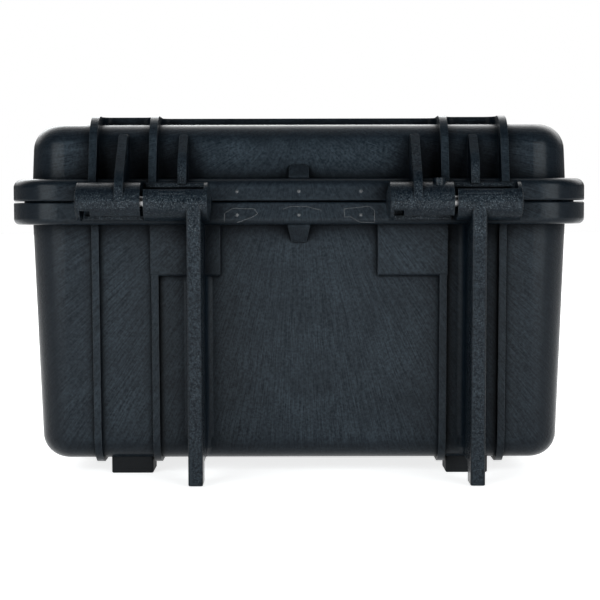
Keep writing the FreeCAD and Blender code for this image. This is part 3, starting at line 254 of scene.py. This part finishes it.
@dataclass(frozen=True)
class ScuffStrokes:
    """Fine scuff strokes of the walls, and masks of where wear shows."""

    focus_height: float = 0.17
    density: float = 220.0
    length: float = 90.0
    depth_scale: float = 300.0
    drawn_scales: Point = (900.0, 120.0, 900.0)
    upright_limits: Limits = (0.55, 0.75)
    detail: float = 4.0
    stroke_roughness: float = 0.68
    stroke_limits: Limits = (0.36, 0.66)
    cloud_scale: float = 42.0
    cloud_roughness: float = 0.6
    cloud_limits: Limits = (0.3, 0.7)
    cloud_side_shade_x: Limits = (0.135, 0.085)
    side_shade_x: Limits = (0.126, 0.112)
    rim_limits: Limits = (0.0095, 0.0125)
    rim_ends: Limits = (0.55, 1.0)
    lid_limits: Limits = (PART_Z + 0.01, PART_Z + 0.02)
    lid_ends: Limits = (0.85, 1.8)

    def tree(self) -> bpy.types.NodeTree:
        """Build the node group.

        On a wall that faces the hinge side or the front, a stroke keeps one bearing seen from a
        focus in the X-Z plane: noise is read at (bearing times density, Y times depth scale,
        distance from the focus times length), so it is long along the bearing and thin across it.
        Elsewhere the noise is drawn out along Y.

        Returns:
            The group, with outputs Strokes, Cloud (uneven wear from noise, thinner on the rims, and
            thinned at the sides as painted shade) and Face (0 at the side walls, 1 away from them,
            a painted-shade mask).
        """
        chain = GroupChain(
            "scuff_strokes",
            {"Focus Height": self.focus_height, "Density": self.density, "Length": self.length},
            ("Strokes", "Cloud", "Face"),
        )
        place = chain.place()
        axis = chain.split(place)
        drop = chain.math("SUBTRACT", chain.given["Focus Height"], axis["Z"])
        bearing = chain.math("ARCTAN2", axis["X"], drop)
        squares = [chain.math("POWER", side, 2.0) for side in (axis["X"], drop)]
        distance = chain.math("SQRT", chain.math("ADD", *squares))
        fan = chain.add("CombineXYZ", {
            "X": chain.product(bearing, chain.given["Density"]),
            "Y": chain.product(axis["Y"], self.depth_scale),
            "Z": chain.product(distance, chain.given["Length"]),
        })
        drawn = chain.add("VectorMath", {0: place, 1: self.drawn_scales}, operation="MULTIPLY")
        facing = chain.split(chain.add("TexCoord").outputs["Normal"])["Y"]
        upright = chain.stretch(chain.math("ABSOLUTE", facing), self.upright_limits)
        strokes = []
        for read in (drawn.outputs[0], fan.outputs[0]):
            noise = chain.noise(read, 1.0, self.detail, self.stroke_roughness)
            strokes.append(chain.stretch(noise, self.stroke_limits))
        chain.join(chain.blend(upright, *strokes, Mixed.VALUE), chain.result["Strokes"])
        cloud = chain.noise(place, self.cloud_scale, self.detail, self.cloud_roughness)
        # The Cloud mask thins towards the side walls as painted shade of the rounded sides, and
        # thins on the rims.
        outward = chain.math("ABSOLUTE", axis["X"])
        patches = chain.product(
            chain.stretch(cloud, self.cloud_limits),
            chain.stretch(outward, self.cloud_side_shade_x),
            chain.ramp(chain.stretch(axis["Z"], self.lid_limits), self.lid_ends),
            chain.ramp(chain.stretch(chain.off_parting(axis["Z"]), self.rim_limits), self.rim_ends),
        )
        chain.join(patches, chain.result["Cloud"])
        # Face is a painted-shade mask: 0 on the side walls, which it darkens.
        chain.join(chain.stretch(outward, self.side_shade_x), chain.result["Face"])
        return chain.tree


@dataclass(frozen=True)
class MouldGrain:
    """Sand-blasted grain of a mould surface, and masks of what stands out at the hinges."""

    scale: float = 1100.0
    grain_detail: float = 3.0
    grain_roughness: float = 0.65
    grain_limits: Limits = (0.38, 0.64)
    fleck_scale: float = 2.6
    fleck_detail: float = 1.0
    fleck_limits: Limits = (0.56, 0.74)
    hinge_limits: Limits = (0.016, 0.010)
    hinge_ends: Limits = (0.35, 1.0)
    proud_from: float = 0.1062
    proud_limits: Limits = (0.0, 0.0012)

    def tree(self) -> bpy.types.NodeTree:
        """Build the node group.

        Returns:
            The group, with outputs Grain, Fleck (finer, most at the hinge line) and Proud (Y past
            the rear rim) from 0 to 1.
        """
        chain = GroupChain(
            "mould_grain",
            {"Scale": self.scale, "Proud From": self.proud_from},
            ("Grain", "Fleck", "Proud"),
        )
        place = chain.place()
        axis = chain.split(place)
        scale = chain.given["Scale"]
        grain = chain.noise(place, scale, self.grain_detail, self.grain_roughness)
        fleck = chain.noise(place, chain.product(scale, self.fleck_scale), self.fleck_detail)
        near = chain.stretch(chain.off_parting(axis["Z"]), self.hinge_limits)
        near = chain.ramp(near, self.hinge_ends)
        flecks = chain.product(chain.stretch(fleck, self.fleck_limits), near)
        past = chain.math("SUBTRACT", axis["Y"], chain.given["Proud From"])
        chain.join(chain.stretch(grain, self.grain_limits), chain.result["Grain"])
        chain.join(flecks, chain.result["Fleck"])
        chain.join(chain.stretch(past, self.proud_limits), chain.result["Proud"])
        return chain.tree


@dataclass(frozen=True)
class EdgeWearAndHighlight:
    """Edge wear and painted edge highlight: a lighter colour on edges, broken by noise."""

    width: float = 0.0007
    samples: int = 6
    turn_limits: Limits = (0.01, 0.22)
    break_scale: float = 150.0
    break_detail: float = 4.0
    break_limits: Limits = (0.3, 0.62)

    def tree(self) -> bpy.types.NodeTree:
        """Build the node group: how far the rounded normal turns from the face's own, times noise.

        Returns:
            The group, with one output from 0 to 1, for edge wear and painted edge highlight.
        """
        chain = GroupChain("edge_wear_and_highlight", {"Width": self.width, "Break": self.break_scale}, ("Rub And Highlight",))
        soft = chain.add("Bevel", {"Radius": chain.given["Width"]}, samples=self.samples)
        true = chain.add("NewGeometry").outputs["Normal"]
        dot = chain.add("VectorMath", {0: soft.outputs[0], 1: true}, operation="DOT_PRODUCT")
        turn = chain.math("SUBTRACT", 1.0, dot.outputs["Value"])
        noise = chain.noise(chain.place(), chain.given["Break"], self.break_detail)
        broken = chain.product(
            chain.stretch(turn, self.turn_limits), chain.stretch(noise, self.break_limits),
        )
        chain.join(broken, chain.result["Rub And Highlight"])
        return chain.tree


@dataclass(frozen=True)
class CornerShade:
    """Narrow corners, darkened in colour as painted shade."""

    reach: float = 0.012
    samples: int = 8
    open_limits: Limits = (0.9, 0.5)

    def tree(self) -> bpy.types.NodeTree:
        """Build the node group: the share of near directions that the piece itself blocks.

        Returns:
            The group, with output Crease from 0 to 1, a mask of painted shade.
        """
        chain = GroupChain("corner_shade", {"Reach": self.reach}, ("Crease",))
        around = chain.add(
            "AmbientOcclusion", {"Distance": chain.given["Reach"]},
            samples=self.samples, only_local=True,
        )
        crease = chain.stretch(around.outputs["AO"], self.open_limits)
        chain.join(crease, chain.result["Crease"])
        return chain.tree


@dataclass
class Effects:
    """The shared node groups."""

    scuff: bpy.types.NodeTree = field(default_factory=ScuffStrokes().tree)
    grain: bpy.types.NodeTree = field(default_factory=MouldGrain().tree)
    edge: bpy.types.NodeTree = field(default_factory=EdgeWearAndHighlight().tree)
    crease: bpy.types.NodeTree = field(default_factory=CornerShade().tree)


def new_material(name: str) -> tuple[bpy.types.Material, NodeChain, bpy.types.NodeInputs]:
    """Start a material.

    Args:
        name: Material name.

    Returns:
        The material, the chain of its tree, and its shader's inputs.
    """
    made = bpy.data.materials.new(name)
    made.use_nodes = True
    return made, NodeChain(made.node_tree), made.node_tree.nodes["Principled BSDF"].inputs


@dataclass(frozen=True)
class MouldedFinish:
    """Dark moulded plastic or rubber with grain, scuff strokes, edge wear with painted edge
    highlights, and painted shade in corners, on the side walls and on turned faces.
    """

    name: str
    colour: Colour
    scuffed: Colour
    rub_highlight_colour: Colour
    roughness: float = 0.46
    rough_spread: float = 0.12
    shine: float = 0.05
    gloss: float = 1.0
    coat_ior: float = 1.19
    grain_scale: float = 800.0
    grain_depth: float = 0.00010
    grain_rise: Limits = (0.6, 1.0)
    stroke_rise: float = 0.7
    stroke_part: float = 0.65
    pebble_part: float = 0.82
    pebble_ends: Limits = (1.0, 0.6)
    cloud_ends: Limits = (0.5, 1.1)
    side_shade_ends: Limits = (0.45, 1.0)
    stroke_share: float = 0.8
    speck_ends: Limits = (0.9, 2.9)
    rub_highlight_share: float = 0.5
    shade_colour: Colour = (0.0002, 0.0008, 0.0018)
    shade_share: float = 0.92
    edge_radius: float = 0.0009
    edge_samples: int = 4
    turn_shade_limits: Limits = (0.01, 0.15)
    turn_shade_share: float = 0.6

    def material(self, effects: Effects) -> bpy.types.Material:
        """Build the material: scuffs over the colour, then edge wear with painted edge highlights,
        specks, and painted shade in narrow corners.

        Last, painted shade: the colour darkens where the surface turns from the viewer.

        Args:
            effects: Shared node groups.

        Returns:
            The material.
        """
        made, chain, shader = new_material(self.name)
        scuff = chain.add("Group", node_tree=effects.scuff).outputs
        pattern = chain.add("Group", node_tree=effects.grain)
        pattern.inputs["Scale"].default_value = self.grain_scale
        grain, fleck, proud = (pattern.outputs[name] for name in ("Grain", "Fleck", "Proud"))
        rub_and_highlight = chain.add("Group", node_tree=effects.edge).outputs["Rub And Highlight"]
        crease = chain.add("Group", node_tree=effects.crease).outputs["Crease"]
        calm = chain.math("SUBTRACT", 1.0, proud)
        strokes = chain.product(scuff["Strokes"], calm)
        pebble = chain.product(grain, chain.ramp(calm, self.pebble_ends), self.pebble_part)
        # The Face ramp in this share darkens the side walls as painted shade.
        share = chain.product(
            chain.math("MULTIPLY_ADD", strokes, self.stroke_part, pebble),
            chain.ramp(scuff["Cloud"], self.cloud_ends),
            chain.ramp(scuff["Face"], self.side_shade_ends),
            self.stroke_share,
        )
        base = chain.blend(share, opaque(self.colour), opaque(self.scuffed))
        # The lighter colour on edges is edge wear and painted edge highlight; the specks near the
        # hinges join it.
        speck = chain.product(fleck, proud, chain.ramp(scuff["Cloud"], self.speck_ends))
        worn_and_highlit = chain.product(chain.math("MAXIMUM", rub_and_highlight, speck), self.rub_highlight_share)
        base = chain.blend(worn_and_highlit, base, opaque(self.rub_highlight_colour))
        # Painted shade: ambient occlusion darkens the colour to near black in narrow corners.
        base = chain.blend(chain.product(crease, self.shade_share), base, opaque(self.shade_colour))
        bevel = chain.add("Bevel", {"Radius": self.edge_radius}, samples=self.edge_samples)
        soft = bevel.outputs[0]
        # Painted shade: where the surface turns from the viewer, the colour falls back to the plain
        # dark colour.
        facing = chain.add("LayerWeight", {"Normal": soft}).outputs["Facing"]
        turned_shade = chain.product(chain.stretch(facing, self.turn_shade_limits), self.turn_shade_share)
        base = chain.blend(turned_shade, base, opaque(self.colour))
        height = chain.product(grain, chain.ramp(proud, self.grain_rise))
        height = chain.math("MULTIPLY_ADD", strokes, self.stroke_rise, height)
        bump = chain.add("Bump", {"Height": height, "Distance": self.grain_depth, "Normal": soft})
        smooth = self.roughness - self.rough_spread / 2
        rough = chain.math("MULTIPLY_ADD", scuff["Cloud"], self.rough_spread, smooth)
        chain.join(base, shader["Base Color"])
        chain.join(rough, shader["Roughness"])
        chain.join(bump.outputs[0], shader["Normal"])
        # The coat also fades out in these painted-shade corners.
        chain.join(chain.ramp(crease, (self.gloss, 0.0)), shader["Coat Weight"])
        shader["Specular IOR Level"].default_value = self.shine
        shader["Coat Roughness"].default_value = self.roughness / 2
        shader["Coat IOR"].default_value = self.coat_ior
        return made


@dataclass(frozen=True)
class RibbedFinish:
    """Soft rubber with fine bands across X."""

    name: str
    colour: Colour
    crest: Colour
    pitch: float = 0.004
    band_limits: Limits = (-0.2, 0.5)
    band_depth: float = 0.0006
    grain_rise: float = 0.12
    rough_ends: Limits = (0.68, 0.80)
    shine: float = 0.25

    def material(self, effects: Effects) -> bpy.types.Material:
        """Build the material: the band height is the sine of X over the pitch.

        Args:
            effects: Shared node groups.

        Returns:
            The material.
        """
        made, chain, shader = new_material(self.name)
        along = chain.split(chain.place())["X"]
        wave = chain.math("SINE", chain.product(along, math.tau / self.pitch))
        band = chain.stretch(wave, self.band_limits)
        grain = chain.add("Group", node_tree=effects.grain).outputs["Grain"]
        base = chain.blend(chain.product(band, grain), opaque(self.colour), opaque(self.crest))
        height = chain.math("MULTIPLY_ADD", grain, self.grain_rise, band)
        bump = chain.add("Bump", {"Height": height, "Distance": self.band_depth})
        chain.join(base, shader["Base Color"])
        chain.join(chain.ramp(grain, self.rough_ends), shader["Roughness"])
        chain.join(bump.outputs[0], shader["Normal"])
        shader["Specular IOR Level"].default_value = self.shine
        return made


@dataclass(frozen=True)
class SteelFinish:
    """Bright drawn steel with fine grain."""

    name: str
    colour: Colour = (0.62, 0.62, 0.63)
    dark_share: float = 0.7
    rough_ends: Limits = (0.22, 0.37)
    grain_scale: float = 2600.0

    def material(self, effects: Effects) -> bpy.types.Material:
        """Build the material.

        Args:
            effects: Shared node groups.

        Returns:
            The material.
        """
        made, chain, shader = new_material(self.name)
        pattern = chain.add("Group", node_tree=effects.grain)
        pattern.inputs["Scale"].default_value = self.grain_scale
        grain = pattern.outputs["Grain"]
        dark = tuple(self.dark_share * part for part in self.colour)
        base = chain.blend(grain, opaque(dark), opaque(self.colour))
        chain.join(base, shader["Base Color"])
        chain.join(chain.ramp(grain, self.rough_ends), shader["Roughness"])
        shader["Metallic"].default_value = 1.0
        return made


Finish = MouldedFinish | RibbedFinish | SteelFinish

SHELL = MouldedFinish(
    "shell_plastic", (0.0012, 0.0036, 0.0066), (0.034, 0.0475, 0.060), (0.10, 0.12, 0.135),
)
GATE = MouldedFinish(
    "gate_plastic", (0.03, 0.036, 0.042), (0.06, 0.067, 0.074), (0.12, 0.13, 0.14),
    roughness=0.2, shine=0.8,
)
FITTING = MouldedFinish(
    "fitting_plastic", (0.008, 0.0095, 0.011), (0.018, 0.020, 0.022), (0.05, 0.054, 0.058),
    roughness=0.42, grain_scale=1700.0, grain_depth=0.00004, stroke_share=0.4,
)
KNOB = MouldedFinish(
    "knob_plastic", (0.008, 0.008, 0.009), (0.014, 0.014, 0.015), (0.05, 0.05, 0.052),
    roughness=0.3, shine=0.5, grain_scale=2400.0, grain_depth=0.00002, stroke_share=0.3,
)
RUBBER = MouldedFinish(
    "soft_rubber", (0.006, 0.0068, 0.008), (0.015, 0.0165, 0.018), (0.026, 0.027, 0.029),
    roughness=0.72, shine=0.1, gloss=0.3, grain_scale=900.0, grain_depth=0.00006,
    stroke_share=0.4, rub_highlight_share=0.25,
)
GRIP = RibbedFinish("grip_rubber", (0.007, 0.007, 0.008), (0.017, 0.017, 0.018))
STEEL = SteelFinish("pin_steel")


@dataclass
class Finishes:
    """One material of each finish."""

    effects: Effects
    made: dict[str, bpy.types.Material] = field(default_factory=dict)

    def get(self, finish: Finish) -> bpy.types.Material:
        """Give a finish's material, building it the first time.

        Args:
            finish: Finish to show.

        Returns:
            The material.
        """
        if finish.name not in self.made:
            self.made[finish.name] = finish.material(self.effects)
        return self.made[finish.name]


def grid_piece(
    name: str, points: np.ndarray, closed: bool = False, pole: bool = False,
) -> bpy.types.Object:
    """Turn a grid of points into a smooth piece.

    Args:
        name: Piece name.
        points: Array of rows, columns and three coordinates in metres.
        closed: True when the last column joins the first.
        pole: True when the first row is one point, which is then merged.

    Returns:
        The piece, linked into the scene.
    """
    rows, columns = points.shape[:2]
    number = np.arange(rows * columns).reshape(rows, columns)
    if closed:
        number = np.concatenate([number, number[:, :1]], axis=1)
    corners = (number[:-1, :-1], number[:-1, 1:], number[1:, 1:], number[1:, :-1])
    quads = np.stack(corners, axis=-1).reshape(-1, len(corners))
    mesh = bpy.data.meshes.new(name)
    mesh.from_pydata(points.reshape(-1, 3).tolist(), [], quads.tolist())
    if pole:
        shape = bmesh.new()
        shape.from_mesh(mesh)
        shape.verts.ensure_lookup_table()
        bmesh.ops.remove_doubles(shape, verts=shape.verts[:columns], dist=MERGE_GAP)
        shape.to_mesh(mesh)
        shape.free()
    mesh.polygons.foreach_set("use_smooth", np.ones(len(mesh.polygons), bool))
    mesh.update()
    piece = bpy.data.objects.new(name, mesh)
    bpy.context.collection.objects.link(piece)
    return piece


@dataclass
class Assembly:
    """CAD nodes of one sub-assembly with their finishes, and its added detail."""

    finishes: Finishes

    def dress(self, finish: Finish, *nodes: str) -> None:
        """Give CAD nodes a finish.

        Args:
            finish: Finish to show.
            *nodes: Node names.
        """
        material = self.finishes.get(finish)
        for node in nodes:
            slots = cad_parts[node].data.materials
            slots.clear()
            slots.append(material)
            log.info("dressed %s with %s", node, material.name)

    def carry(self, piece: bpy.types.Object, body: Body, slot: Slot, finish: Finish) -> None:
        """Fix a new piece to a body.

        Args:
            piece: New piece.
            body: Body that it moves with.
            slot: Material slot of the record; not used.
            finish: Finish to show.
        """
        piece.data.materials.append(self.finishes.get(finish))
        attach(piece, body.value)
        log.info("added %s on %s", piece.name, body.value)


# Flow outlines around the base's gates, X and Z from the gate in millimetres
FLOW_SHAPES = (
    (
        (7.8, 2.7), (7.5, -0.9), (4.8, -0.9), (0.5, -3.4),
        (-6.2, -3.5), (-6.2, 2.1), (-3.8, 3.9), (7.8, 2.7),
    ),
    ((7.3, 2.7), (3.7, 3.9), (-3.1, 3.9), (-10.4, 2.1)),
    ((5.8, -3.4), (5.6, 0.9), (1.8, 3.1), (-8.0, 2.8), (-9.5, 0.6), (-7.3, -0.9), (0.0, -3.5)),
)


@dataclass
class Shells(Assembly):
    """Base and lid with the gate marks and flow lines on their rear rims."""

    gate_xs: Sequence[float] = (-0.0285, 0.0, 0.0285)
    gate_radius: float = 0.0009
    gate_rise: float = 0.00045
    gate_sunk: float = 0.00005
    gate_rings: int = 7
    gate_sides: int = 20
    lid_gate_z: float = PART_Z + 0.0046
    base_gate_z: float = PART_Z - 0.0062
    line_radius: float = 0.00014
    line_sunk: float = 0.00004
    line_steps: int = 6
    line_sides: int = 7
    rim_low: float = PART_Z - 0.0106
    rim_soft: float = 0.0027

    def gate(self, name: str, x: float, z: float) -> bpy.types.Object:
        """Build a gate mark over the polar grid of r and angle.

        It is a low dome, y = rim - sunk + rise (1 - r^2), with r from 0 to 1.

        Args:
            name: Piece name.
            x: Middle X.
            z: Middle Z.

        Returns:
            The piece.
        """
        rings = np.linspace(0.0, 1.0, self.gate_rings)
        sides = np.linspace(0, math.tau, self.gate_sides, endpoint=False)
        reach, angle = np.meshgrid(rings, sides, indexing="ij")
        points = np.stack([
            x + self.gate_radius * reach * np.cos(angle),
            REAR_RIM_Y - self.gate_sunk + self.gate_rise * (1 - reach ** 2),
            z + self.gate_radius * reach * np.sin(angle),
        ], axis=-1)
        return grid_piece(name, points, closed=True, pole=True)

    def flow_line(self, name: str, corners: np.ndarray, x: float, z: float) -> bpy.types.Object:
        """Sweep a thin half-round bead along a path on the rim around a gate.

        The skin under it is the rim's face, and below that the rounding,
        y = rim - r + sqrt(r^2 - below^2).

        Args:
            name: Piece name.
            corners: Path corners, X and Z from the gate in metres.
            x: Gate X.
            z: Gate Z.

        Returns:
            The piece.
        """
        legs = len(corners) - 1
        step = np.linspace(0, legs, self.line_steps * legs + 1)
        at = np.arange(len(corners))
        path = np.stack([np.interp(step, at, side) for side in corners.T], axis=-1)
        way = np.gradient(path, axis=0)
        way /= np.linalg.norm(way, axis=1, keepdims=True)
        across = np.stack([-way[:, 1], way[:, 0]], axis=-1)
        turn = np.linspace(math.pi, 0, self.line_sides)
        aside = self.line_radius * across[:, None, :] * np.cos(turn)[None, :, None]
        spread = path[:, None, :] + aside
        height = np.broadcast_to(z + path[:, None, 1], spread.shape[:2])
        below = np.clip(self.rim_low + self.rim_soft - height, 0, self.rim_soft)
        skin = REAR_RIM_Y - self.rim_soft + np.sqrt(self.rim_soft ** 2 - below ** 2)
        out = skin - self.line_sunk + self.line_radius * np.sin(turn)
        points = np.stack([x + spread[..., 0], out, z + spread[..., 1]], axis=-1)
        return grid_piece(name, points)

    def build(self) -> None:
        """Dress both shells and add the gate marks and flow lines."""
        self.dress(SHELL, "base_shell", "lid_shell")
        for index, (x, shape) in enumerate(zip(self.gate_xs, FLOW_SHAPES)):
            lid_gate = self.gate(f"lid_gate_{index}", x, self.lid_gate_z)
            self.carry(lid_gate, Body.LID, Slot.SHELL, GATE)
            base_gate = self.gate(f"base_gate_{index}", x, self.base_gate_z)
            self.carry(base_gate, Body.BASE, Slot.SHELL, GATE)
            corners = np.array(shape) * MILLIMETRE
            line = self.flow_line(f"base_flow_{index}", corners, x, self.base_gate_z)
            self.carry(line, Body.BASE, Slot.SHELL, GATE)


@dataclass
class Hinges(Assembly):
    """Hinge pins, with the wear plates on the base knuckles' upper facets."""

    facet_low: tuple[float, float] = (HINGE_Y + 0.00841, PART_Z + 0.00275)
    facet_high: tuple[float, float] = (HINGE_Y + 0.00693, PART_Z + 0.0055)
    spans: Sequence[tuple[float, float]] = ((0.0507, 0.0631), (-0.0917, -0.0733))
    rise: float = 0.00035
    sunk: float = 0.00002
    half_height: float = 0.36
    edge_power: int = 12
    grid_count: int = 25

    def plate(self, name: str, low: float, high: float) -> bpy.types.Object:
        """Build a raised plate on the facet's middle part.

        With u along X and v up the facet, both from -1 to 1 and denser near the edges, the facet is
        lifted by rise (1 - u^p) (1 - v^p) - sunk, where p is the edge power.

        Args:
            name: Piece name.
            low: Low X.
            high: High X.

        Returns:
            The piece.
        """
        across = np.sin(np.linspace(-math.pi / 2, math.pi / 2, self.grid_count))
        u, v = np.meshgrid(across, across, indexing="ij")
        start, end = np.array(self.facet_low), np.array(self.facet_high)
        way = end - start
        normal = np.array([way[1], -way[0]]) / np.linalg.norm(way)
        lift = self.rise * (1 - u ** self.edge_power) * (1 - v ** self.edge_power) - self.sunk
        flat = (start + end) / 2 + (self.half_height * v)[..., None] * way
        points = np.stack([
            (low + high) / 2 + u * (high - low) / 2,
            flat[..., 0] + lift * normal[0],
            flat[..., 1] + lift * normal[1],
        ], axis=-1)
        return grid_piece(name, points)

    def build(self) -> None:
        """Dress the pins and add the plates."""
        self.dress(STEEL, "hinge_pin_left", "hinge_pin_right")
        for side, (low, high) in zip(("right", "left"), self.spans):
            plate = self.plate(f"hinge_plate_{side}", low, high)
            self.carry(plate, Body.BASE, Slot.SHELL, SHELL)


@dataclass
class Seals(Assembly):
    """Lid gasket and feet."""

    def build(self) -> None:
        """Dress the rubber pieces."""
        self.dress(RUBBER, "lid_gasket")
        for end in ("front", "rear"):
            self.dress(RUBBER, f"foot_{end}_left", f"foot_{end}_right")


@dataclass
class Latches(Assembly):
    """Both latches and their pins."""

    def build(self) -> None:
        """Dress latches and pins."""
        self.dress(FITTING, "latch_left", "latch_right")
        self.dress(STEEL, "latch_pin_left", "latch_pin_right")


@dataclass
class Handle(Assembly):
    """Carrying handle with its soft sleeve and pins."""

    def build(self) -> None:
        """Dress bail, sleeve and pins."""
        self.dress(FITTING, "handle_bail")
        self.dress(GRIP, "handle_grip")
        self.dress(STEEL, "handle_pin_left", "handle_pin_right")


@dataclass
class Valve(Assembly):
    """Pressure valve."""

    def build(self) -> None:
        """Dress the valve's four pieces."""
        self.dress(FITTING, "valve_body", "valve_nut")
        self.dress(KNOB, "valve_knob")
        self.dress(RUBBER, "valve_o_ring")


@dataclass(frozen=True)
class Lamp:
    """Soft rectangular lamp: place and size in metres, power in watts."""

    name: str
    at: Point
    size: tuple[float, float]
    power: float
    tint: Colour = (0.92, 0.98, 1.0)

    def hang(self, aim: Point) -> None:
        """Put the lamp into the scene.

        Args:
            aim: Point that it faces.
        """
        data = bpy.data.lights.new(self.name, "AREA")
        data.shape = "RECTANGLE"
        data.size, data.size_y = self.size
        data.energy = self.power
        data.color = self.tint
        lamp = bpy.data.objects.new(self.name, data)
        bpy.context.collection.objects.link(lamp)
        way = np.array(aim) - np.array(self.at)
        lamp.location = self.at
        tilt = math.acos(-way[2] / np.linalg.norm(way))
        lamp.rotation_euler = (tilt, 0.0, math.atan2(-way[0], way[1]))


LAMPS = (
    Lamp("lamp_top", (0.0, -0.2, 1.3), (1.6, 0.8), 1.5),
    Lamp("lamp_front", (0.3, -1.3, 0.8), (1.2, 0.7), 5.0),
    Lamp("lamp_left", (0.85, 1.2, 0.45), (0.8, 0.9), 10.4),
    Lamp("lamp_right", (-0.85, 1.2, 0.45), (0.8, 0.9), 10.4),
)


@dataclass
class Studio:
    """Pale floor, soft light and the camera at the photograph's angle."""

    camera_at: Point = (-0.0005, 0.796, 0.1273)
    focal_px: float = 1501.0
    frame_px: float = 600.0
    sensor_mm: float = 36.0
    clip_start: float = 0.01
    level_deg: float = 90.0
    pitch_deg: float = 3.57
    roll_deg: float = 0.13
    floor_half: float = 6.0
    floor_colour: Colour = (0.9, 0.9, 0.9)
    floor_roughness: float = 0.9
    floor_glow: float = 0.62
    floor_seen: float = 0.78
    floor_y: Limits = (-0.6, -0.12)
    backdrop: float = 1.0
    fill: float = 0.05
    tent: float = 2.8
    tent_y: Limits = (-0.25, -0.65)
    tent_z: Limits = (0.12, 0.45)
    lamp_aim: Point = (0.0, 0.05, 0.08)

    def floor(self) -> None:
        """Lay a wide floor, white to the camera, with a weaker glow that ends on the front side."""
        square = np.array([[-1, -1, 0], [1, -1, 0], [1, 1, 0], [-1, 1, 0]], float)
        corners = square * self.floor_half
        mesh = bpy.data.meshes.new("studio_floor")
        mesh.from_pydata(corners.tolist(), [], [range(len(corners))])
        piece = bpy.data.objects.new("studio_floor", mesh)
        bpy.context.collection.objects.link(piece)
        paint, chain, shader = new_material("studio_white")
        seen = chain.add("LightPath").outputs["Is Camera Ray"]
        near = chain.stretch(chain.split(chain.place())["Y"], self.floor_y)
        share = self.floor_glow / self.floor_seen
        lit = chain.blend(near, opaque(BLACK), opaque((share, share, share)))
        chain.join(chain.blend(seen, lit, opaque(WHITE)), shader["Emission Color"])
        shader["Emission Strength"].default_value = self.floor_seen
        shader["Base Color"].default_value = opaque(self.floor_colour)
        shader["Roughness"].default_value = self.floor_roughness
        mesh.materials.append(paint)

    def light(self) -> None:
        """Set a white backdrop, a weak fill with a pale tent on the front side, and the lamps."""
        world = bpy.data.worlds.new("studio_room")
        bpy.context.scene.world = world
        world.use_nodes = True
        chain = NodeChain(world.node_tree)
        seen = chain.add("LightPath").outputs["Is Camera Ray"]
        way = chain.split(chain.add("TexCoord").outputs["Generated"])
        tent = chain.product(
            chain.stretch(way["Y"], self.tent_y), chain.stretch(way["Z"], self.tent_z),
        )
        around = chain.math("MULTIPLY_ADD", tent, self.tent, self.fill)
        strength = chain.math("MAXIMUM", chain.product(seen, self.backdrop), around)
        room = world.node_tree.nodes["Background"].inputs
        chain.join(strength, room["Strength"])
        room["Color"].default_value = opaque(WHITE)
        for lamp in LAMPS:
            lamp.hang(self.lamp_aim)

    def camera(self) -> None:
        """Place the camera: level view of the hinge side, tipped down a little."""
        data = bpy.data.cameras.new("photo_camera")
        data.sensor_fit = "HORIZONTAL"
        data.sensor_width = self.sensor_mm
        data.lens = self.focal_px / self.frame_px * self.sensor_mm
        data.clip_start = self.clip_start
        piece = bpy.data.objects.new("photo_camera", data)
        bpy.context.collection.objects.link(piece)
        piece.location = self.camera_at
        tilt = math.radians(self.level_deg - self.pitch_deg)
        piece.rotation_euler = (tilt, math.radians(self.roll_deg), math.pi)
        bpy.context.scene.camera = piece

    def build(self) -> None:
        """Build floor, light and camera, with plain colour handling."""
        self.floor()
        self.light()
        self.camera()
        bpy.context.scene.view_settings.view_transform = "Standard"


def main() -> None:
    """Dress the case and build the studio."""
    logging.basicConfig(level=logging.INFO, format="%(message)s")
    finishes = Finishes(Effects())
    for part in (Shells, Hinges, Seals, Latches, Handle, Valve):
        part(finishes).build()
    Studio().build()


if __name__ == "__main__":
    main()
